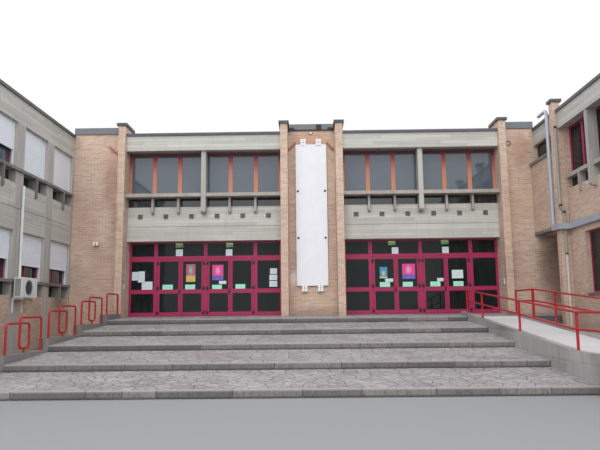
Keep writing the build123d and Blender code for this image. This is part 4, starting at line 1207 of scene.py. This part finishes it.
# Slats and bottom bars of the roller shutters: each storey has its sill, its head and its drops
slats = {
    "storeys": (
        (2.63, 4.13, (0.66, 0.68, 0.6, 0.66, 1, 0.66)),
        (6.05, 7.5, (1, 1, 0.62, 0.8, 1, 0.62)),
    ),
    "first": 0.2,
    "bay": 2.25,
    "width": 1.75,
    "guide": 0.054,
    "front": -9.23,
    "top": 0.002,
    "pitch": shutterFinish["pitch"],
    "rise": 0.009,
    "flank": 0.007,
    "bar": 0.045,
    "barDepth": 0.022,
    "edge": 0.003,
}


def addCurtain(mesh, sizes, far, foot, head):
    front, rise, flank, pitch = (sizes[key] for key in ("front", "rise", "flank", "pitch"))
    near, far = far - sizes["width"] + sizes["guide"], far - sizes["guide"]
    level = head - sizes["top"]
    profile = []
    while level - pitch > foot + sizes["bar"]:
        profile += [(0.0, level), (rise, level - flank), (rise, level - pitch + flank)]
        level -= pitch
    profile.append((0.0, level))
    rows = [[mesh.verts.new((front + out, y, z)) for y in (near, far)] for out, z in profile]
    for upper, lower in zip(rows, rows[1:]):
        mesh.faces.new((upper[0], lower[0], lower[1], upper[1]))
    addBox(mesh, (front, near, foot), (front + sizes["barDepth"], far, foot + sizes["bar"]), sizes["edge"])


def makeSlats(sizes):
    mesh = bmesh.new()
    for sill, head, drops in sizes["storeys"]:
        for bay, drop in enumerate(drops):
            addCurtain(mesh, sizes, sizes["first"] - bay * sizes["bay"], head - drop * (head - sill), head)
    addPiece("shutterSlats", mesh, "shutterSlats")


makeSlats(slats)
print("shutter slats laid")

# Louvres in the square vents of the spandrels
vents = {
    "middles": (-4.12, 4.12),
    "module": 0.98,
    "count": 6,
    "size": 0.19,
    "bottom": 5.11,
    "front": 0.55,
    "proud": 0.004,
    "depth": 0.03,
    "rim": 0.014,
    "blades": 5,
    "half": 0.003,
    "setback": 0.006,
    "slope": 0.018,
}


def addVent(mesh, sizes, x):
    rim, size, foot, half = (sizes[key] for key in ("rim", "size", "bottom", "half"))
    left, right, head = x - size / 2, x + size / 2, foot + size
    near, far = sizes["front"] - sizes["proud"], sizes["front"] + sizes["depth"]
    addBox(mesh, (left, near, foot), (left + rim, far, head))
    addBox(mesh, (right - rim, near, foot), (right, far, head))
    addBox(mesh, (left, near, foot), (right, far, foot + rim))
    addBox(mesh, (left, near, head - rim), (right, far, head))
    for blade in range(sizes["blades"]):
        z = foot + rim + (blade + 0.5) * (size - 2 * rim) / sizes["blades"]
        low = (left + rim, near + sizes["setback"], z - half)
        for vertex in addBox(mesh, low, (right - rim, far, z + half)):
            if vertex.co.y > (near + far) / 2:
                vertex.co.z += sizes["slope"]


def makeVents(sizes):
    mesh = bmesh.new()
    for middle in sizes["middles"]:
        for place in range(sizes["count"]):
            addVent(mesh, sizes, middle + (place - (sizes["count"] - 1) / 2) * sizes["module"])
    addPiece("ventLouvres", mesh, "ventMetal")


makeVents(vents)
print("vent louvres set")

# Lapped seams of the sheet metal copings
seams = {
    "pieces": (
        ("entranceSeams", "entrance_copings", "copingMetal"),
        ("roofSeams", "roof_copings", "capMetal"),
    ),
    "spacing": 1.95,
    "width": 0.035,
    "proud": 0.004,
    "foot": 0.002,
    "edge": 0.0015,
}


# Axis of the plan that a box is long in
def longAxis(low, high):
    return 0 if high[0] - low[0] > high[1] - low[1] else 1


def makeSeams(sizes):
    for name, node, finish in sizes["pieces"]:
        mesh = bmesh.new()
        for low, high in solidBoxes(node):
            axis = longAxis(low, high)
            length = high[axis] - low[axis]
            count = round(length / sizes["spacing"])
            for seam in range(1, count):
                place = low[axis] + length * seam / count
                near = [corner - sizes["proud"] for corner in low]
                far = [corner + sizes["proud"] for corner in high]
                near[axis], far[axis] = place - sizes["width"] / 2, place + sizes["width"] / 2
                near[2] = low[2] + sizes["foot"]
                addBox(mesh, near, far, sizes["edge"])
        addPiece(name, mesh, finish)


makeSeams(seams)
print("coping seams lapped")

# Frames, middle bars and sills of the windows in the outer walls
outerWindows = {
    "bar": 0.06,
    "pane": 0.011,
    "depth": 0.05,
    "edge": 0.004,
    "sill": 0.05,
    "overhang": 0.04,
    "sillEdge": 0.006,
    "wall": 0.3,
}


def makeOuterWindows(sizes):
    frames, sills = bmesh.new(), bmesh.new()
    bar, face = sizes["bar"], sizes["pane"] + sizes["depth"]
    frameDepths, sillDepths = (sizes["pane"], face), (face, sizes["wall"] / 2 + sizes["overhang"])
    for low, high in solidBoxes("outer_glass"):
        along = longAxis(low, high)
        middle = (low[1 - along] + high[1 - along]) / 2
        outwards = 1 if middle > 0 else -1

        def piece(mesh, start, end, foot, head, depths=frameDepths, edge=sizes["edge"]):
            first, second = [0, 0, foot], [0, 0, head]
            first[along], second[along] = start, end
            first[1 - along], second[1 - along] = sorted(middle + outwards * depth for depth in depths)
            addBox(mesh, first, second, edge)

        start, end, foot, head = low[along], high[along], low[2], high[2]
        half = (start + end) / 2
        posts = ((start, start + bar), (half - bar / 2, half + bar / 2), (end - bar, end))
        for near, far in posts:
            piece(frames, near, far, foot, head)
        for before, after in zip(posts, posts[1:]):
            piece(frames, before[1], after[0], foot, foot + bar)
            piece(frames, before[1], after[0], head - bar, head)
        piece(sills, start, end, foot, foot + sizes["sill"], sillDepths, sizes["sillEdge"])
    addPiece("outerWindowFrames", frames, "crimsonFrame")
    addPiece("outerWindowSills", sills, "sillConcrete")


makeOuterWindows(outerWindows)
print("outer windows framed")

# Cooling unit: round parts as start, end, radius and sides; blade corners as share of radius, turn, lift
unit = {
    "centre": (-8.75, -3.83, 2.385),
    "radius": 0.228,
    "rings": 7,
    "spokes": 16,
    "wire": 0.0035,
    "grille": 0.006,
    "boss": (-0.001, 0.01, 0.035, 20),
    "disc": (-0.037, -0.031, 0.22344, 40),
    "hub": (-0.034, -0.014, 0.05, 20),
    "blades": 5,
    "blade": ((0.24, 0, 0.006), (0.9, 0.1, 0.004), (0.93, 0.75, 0.018), (0.26, 0.9, 0.016)),
    "slits": 8,
    "slit": ((-8.962, -4.304, 2.13), (-8.951, -4.299, 2.64)),
    "slitPitch": 0.023,
}


def makeFan(sizes):
    grille, fan = bmesh.new(), bmesh.new()
    x, y, z = sizes["centre"]

    def around(out, share, angle):
        radius = sizes["radius"] * share
        return (x + out, y + radius * math.cos(angle), z + radius * math.sin(angle))

    def addRound(mesh, start, end, radius, sides):
        addTube(mesh, (x + start, y, z), (x + end, y, z), radius, sides)

    out = sizes["grille"]
    for ring in range(sizes["rings"]):
        radius = sizes["radius"] * (ring + 1) / sizes["rings"]
        addRing(grille, (x + out, y, z), (1, 0, 0), radius, sizes["wire"], 40, 5)
    for spoke in range(sizes["spokes"]):
        tip = around(out, 1.0, math.tau * spoke / sizes["spokes"])
        addTube(grille, (x + out, y, z), tip, sizes["wire"], 6)
    addRound(grille, *sizes["boss"])
    addPiece("fanGrille", grille, "copingMetal")
    # black disc behind the blades: painted shade of the unit's inside
    addRound(fan, *sizes["disc"])
    addRound(fan, *sizes["hub"])
    back = sizes["hub"][0]
    for blade in range(sizes["blades"]):
        start = math.tau * blade / sizes["blades"]
        corners = [around(back + lift, share, start + turn) for share, turn, lift in sizes["blade"]]
        fan.faces.new([fan.verts.new(corner) for corner in corners])
    # black bars in the slits of the end face: painted shade of the openings
    for slit in range(sizes["slits"]):
        addBox(fan, *moved((slit * sizes["slitPitch"], 0, 0), *sizes["slit"]))
    addPiece("fanBlades", fan, "blackMetal")


makeFan(unit)
print("cooling unit fitted")

# Flanges and bolts at the feet of the hoops and of the handrail posts
feet = {"radius": 0.055, "plate": 0.008, "bolts": 4, "circle": 0.0429, "bolt": 0.007, "head": 0.006}


def addFoot(mesh, x, y, z, sizes):
    top = z + sizes["plate"]
    addTube(mesh, (x, y, z), (x, y, top), sizes["radius"], 20)
    for bolt in range(sizes["bolts"]):
        angle = math.tau * (bolt + 0.5) / sizes["bolts"]
        place = (x + sizes["circle"] * math.cos(angle), y + sizes["circle"] * math.sin(angle))
        addTube(mesh, (*place, top), (*place, top + sizes["head"]), sizes["bolt"], 6)


# Places of the hoops' feet behind each riser; the last hoop has two low feet
hoopFeet = {
    "middle": -7.195,
    "offset": 0.032,
    "above": 0.2,
    "low": (0.23, 1.45),
    "high": 2.29,
    "turn": 1.26,
    "stub": (0.1, 0.022),
}


def makeHoopFeet(hoops, sizes):
    mesh = bmesh.new()
    x, offset = hoops["middle"], hoops["offset"]
    height, radius = hoops["stub"]
    for front, top in risers:
        level, turn = top + hoops["above"], front + hoops["turn"]
        addFoot(mesh, x + offset, front + hoops["low"][0], level, sizes)
        if (front, top) == risers[-1]:
            addFoot(mesh, x + offset, front + hoops["low"][1], level, sizes)
        else:
            addFoot(mesh, x - offset, front + hoops["high"], level, sizes)
            addFoot(mesh, x, turn, level, sizes)
            addTube(mesh, (x, turn, level), (x, turn, level + height), radius)
    addPiece("hoopFeet", mesh, "railRed")


makeHoopFeet(hoopFeet, feet)
print("hoop feet bolted down")

# Handrail posts: each line across the ramp with its places along it, and the reach that finds a post's foot
railPosts = {"lines": {5.275: (-1.22, -3.08, -6.53), 6.875: (-1.45, -3.04, -4.85, -8.0)}, "reach": 0.035}


def makeRailFeet(posts, sizes):
    mesh = bmesh.new()
    points = [vertex.co for vertex in frame["nodes"]["ramp_handrails"].data.vertices]
    for x, places in posts["lines"].items():
        for y in places:
            foot = min(point.z for point in points if math.hypot(point.x - x, point.y - y) < posts["reach"])
            addFoot(mesh, x, y, foot, sizes)
    addPiece("railFeet", mesh, "railRed")


makeRailFeet(railPosts, feet)
print("rail feet bolted down")

# Dark collars of the downpipe: middle, level and height; straps of the zinc riser, and a black disc in its
# open end as painted shade of the hollow
pipeCollars = {
    "radius": 0.054,
    "places": (
        ((8.353, -2.053), 7.69, 0.08),
        ((8.353, -2.053), 4.985, 0.07),
        ((8.463, -2.053), 4.75, 0.07),
        ((8.463, -2.053), 3.35, 0.06),
        ((8.463, -2.053), 0.02, 0.09),
    ),
    "riser": (8.235, -1.66),
    "straps": (5.45, 6.7, 7.75),
    "strap": (0.0645, 0.035),
    "tab": (8.3, 0.012),
    "end": 0.057,
    "endDrop": 0.06,
    "endDepths": (-0.001, 0.004),
}


def makeCollars(sizes):
    collars, straps = bmesh.new(), bmesh.new()
    for place, level, height in sizes["places"]:
        addTube(collars, (*place, level), (*place, level + height), sizes["radius"], 24)
    x, y = sizes["riser"]
    radius, height = sizes["strap"]
    wall, half = sizes["tab"]
    for level in sizes["straps"]:
        addTube(straps, (x, y, level), (x, y, level + height), radius, 24)
        addBox(straps, (x, y - half, level), (wall, y + half, level + height))
    duct = max(high for low, high in solidBoxes("air_duct"))
    start, end = ((x, duct[1] + depth, duct[2] - sizes["endDrop"]) for depth in sizes["endDepths"])
    # black disc in the riser's open end: painted shade of its inside
    addTube(collars, start, end, sizes["end"], 24)
    addPiece("pipeCollars", collars, "blackMetal")
    addPiece("riserStraps", straps, "galvanisedSheet")


makeCollars(pipeCollars)
print("collars and straps fitted")

# An even overcast sky, which the camera and the reflections see as plain white
sky = {"light": (0.93, 0.96, 1.0), "strength": 1.5, "plain": (1, 1, 1)}


def makeSky(setup):
    world = bpy.data.worlds.new("overcastSky")
    world.use_nodes = True
    tree = world.node_tree
    tree.nodes.clear()
    seen = put(tree, "ShaderNodeLightPath").outputs
    direct = maths(tree, "MAXIMUM", seen["Is Camera Ray"], seen["Is Glossy Ray"])
    direct = maths(tree, "MAXIMUM", direct, seen["Is Transmission Ray"])
    light = put(tree, "ShaderNodeBackground", {"Color": setup["light"], "Strength": setup["strength"]})
    plain = put(tree, "ShaderNodeBackground", {"Color": setup["plain"], "Strength": 1.0})
    both = put(tree, "ShaderNodeMixShader", {0: direct, 1: light.outputs[0], 2: plain.outputs[0]})
    put(tree, "ShaderNodeOutputWorld", {0: both.outputs[0]})
    bpy.context.scene.world = world


sun = {"energy": 1.3, "angle": 50, "turn": (60, 0, -6)}


def makeSun(setup):
    data = bpy.data.lights.new("highSun", "SUN")
    data.energy = setup["energy"]
    data.angle = math.radians(setup["angle"])
    lamp = bpy.data.objects.new("highSun", data)
    lamp.visible_glossy = False
    lamp.rotation_euler = [math.radians(angle) for angle in setup["turn"]]
    bpy.context.scene.collection.objects.link(lamp)


floorSetup = {"size": 160.0, "level": -0.002, "colour": (0.27, 0.272, 0.275)}


def makeFloor(setup):
    newMaterial("paleFloor", 0.9, {"Base Color": (*setup["colour"], 1.0)})
    mesh = bmesh.new()
    bmesh.ops.create_grid(mesh, x_segments=1, y_segments=1, size=setup["size"] / 2)
    data = bpy.data.meshes.new("forecourtFloor")
    mesh.to_mesh(data)
    mesh.free()
    data.materials.append(finishes["paleFloor"])
    floor = bpy.data.objects.new("forecourtFloor", data)
    floor.location.z = setup["level"]
    bpy.context.scene.collection.objects.link(floor)


makeSky(sky)
makeSun(sun)
makeFloor(floorSetup)
print("sky, sun and floor set")
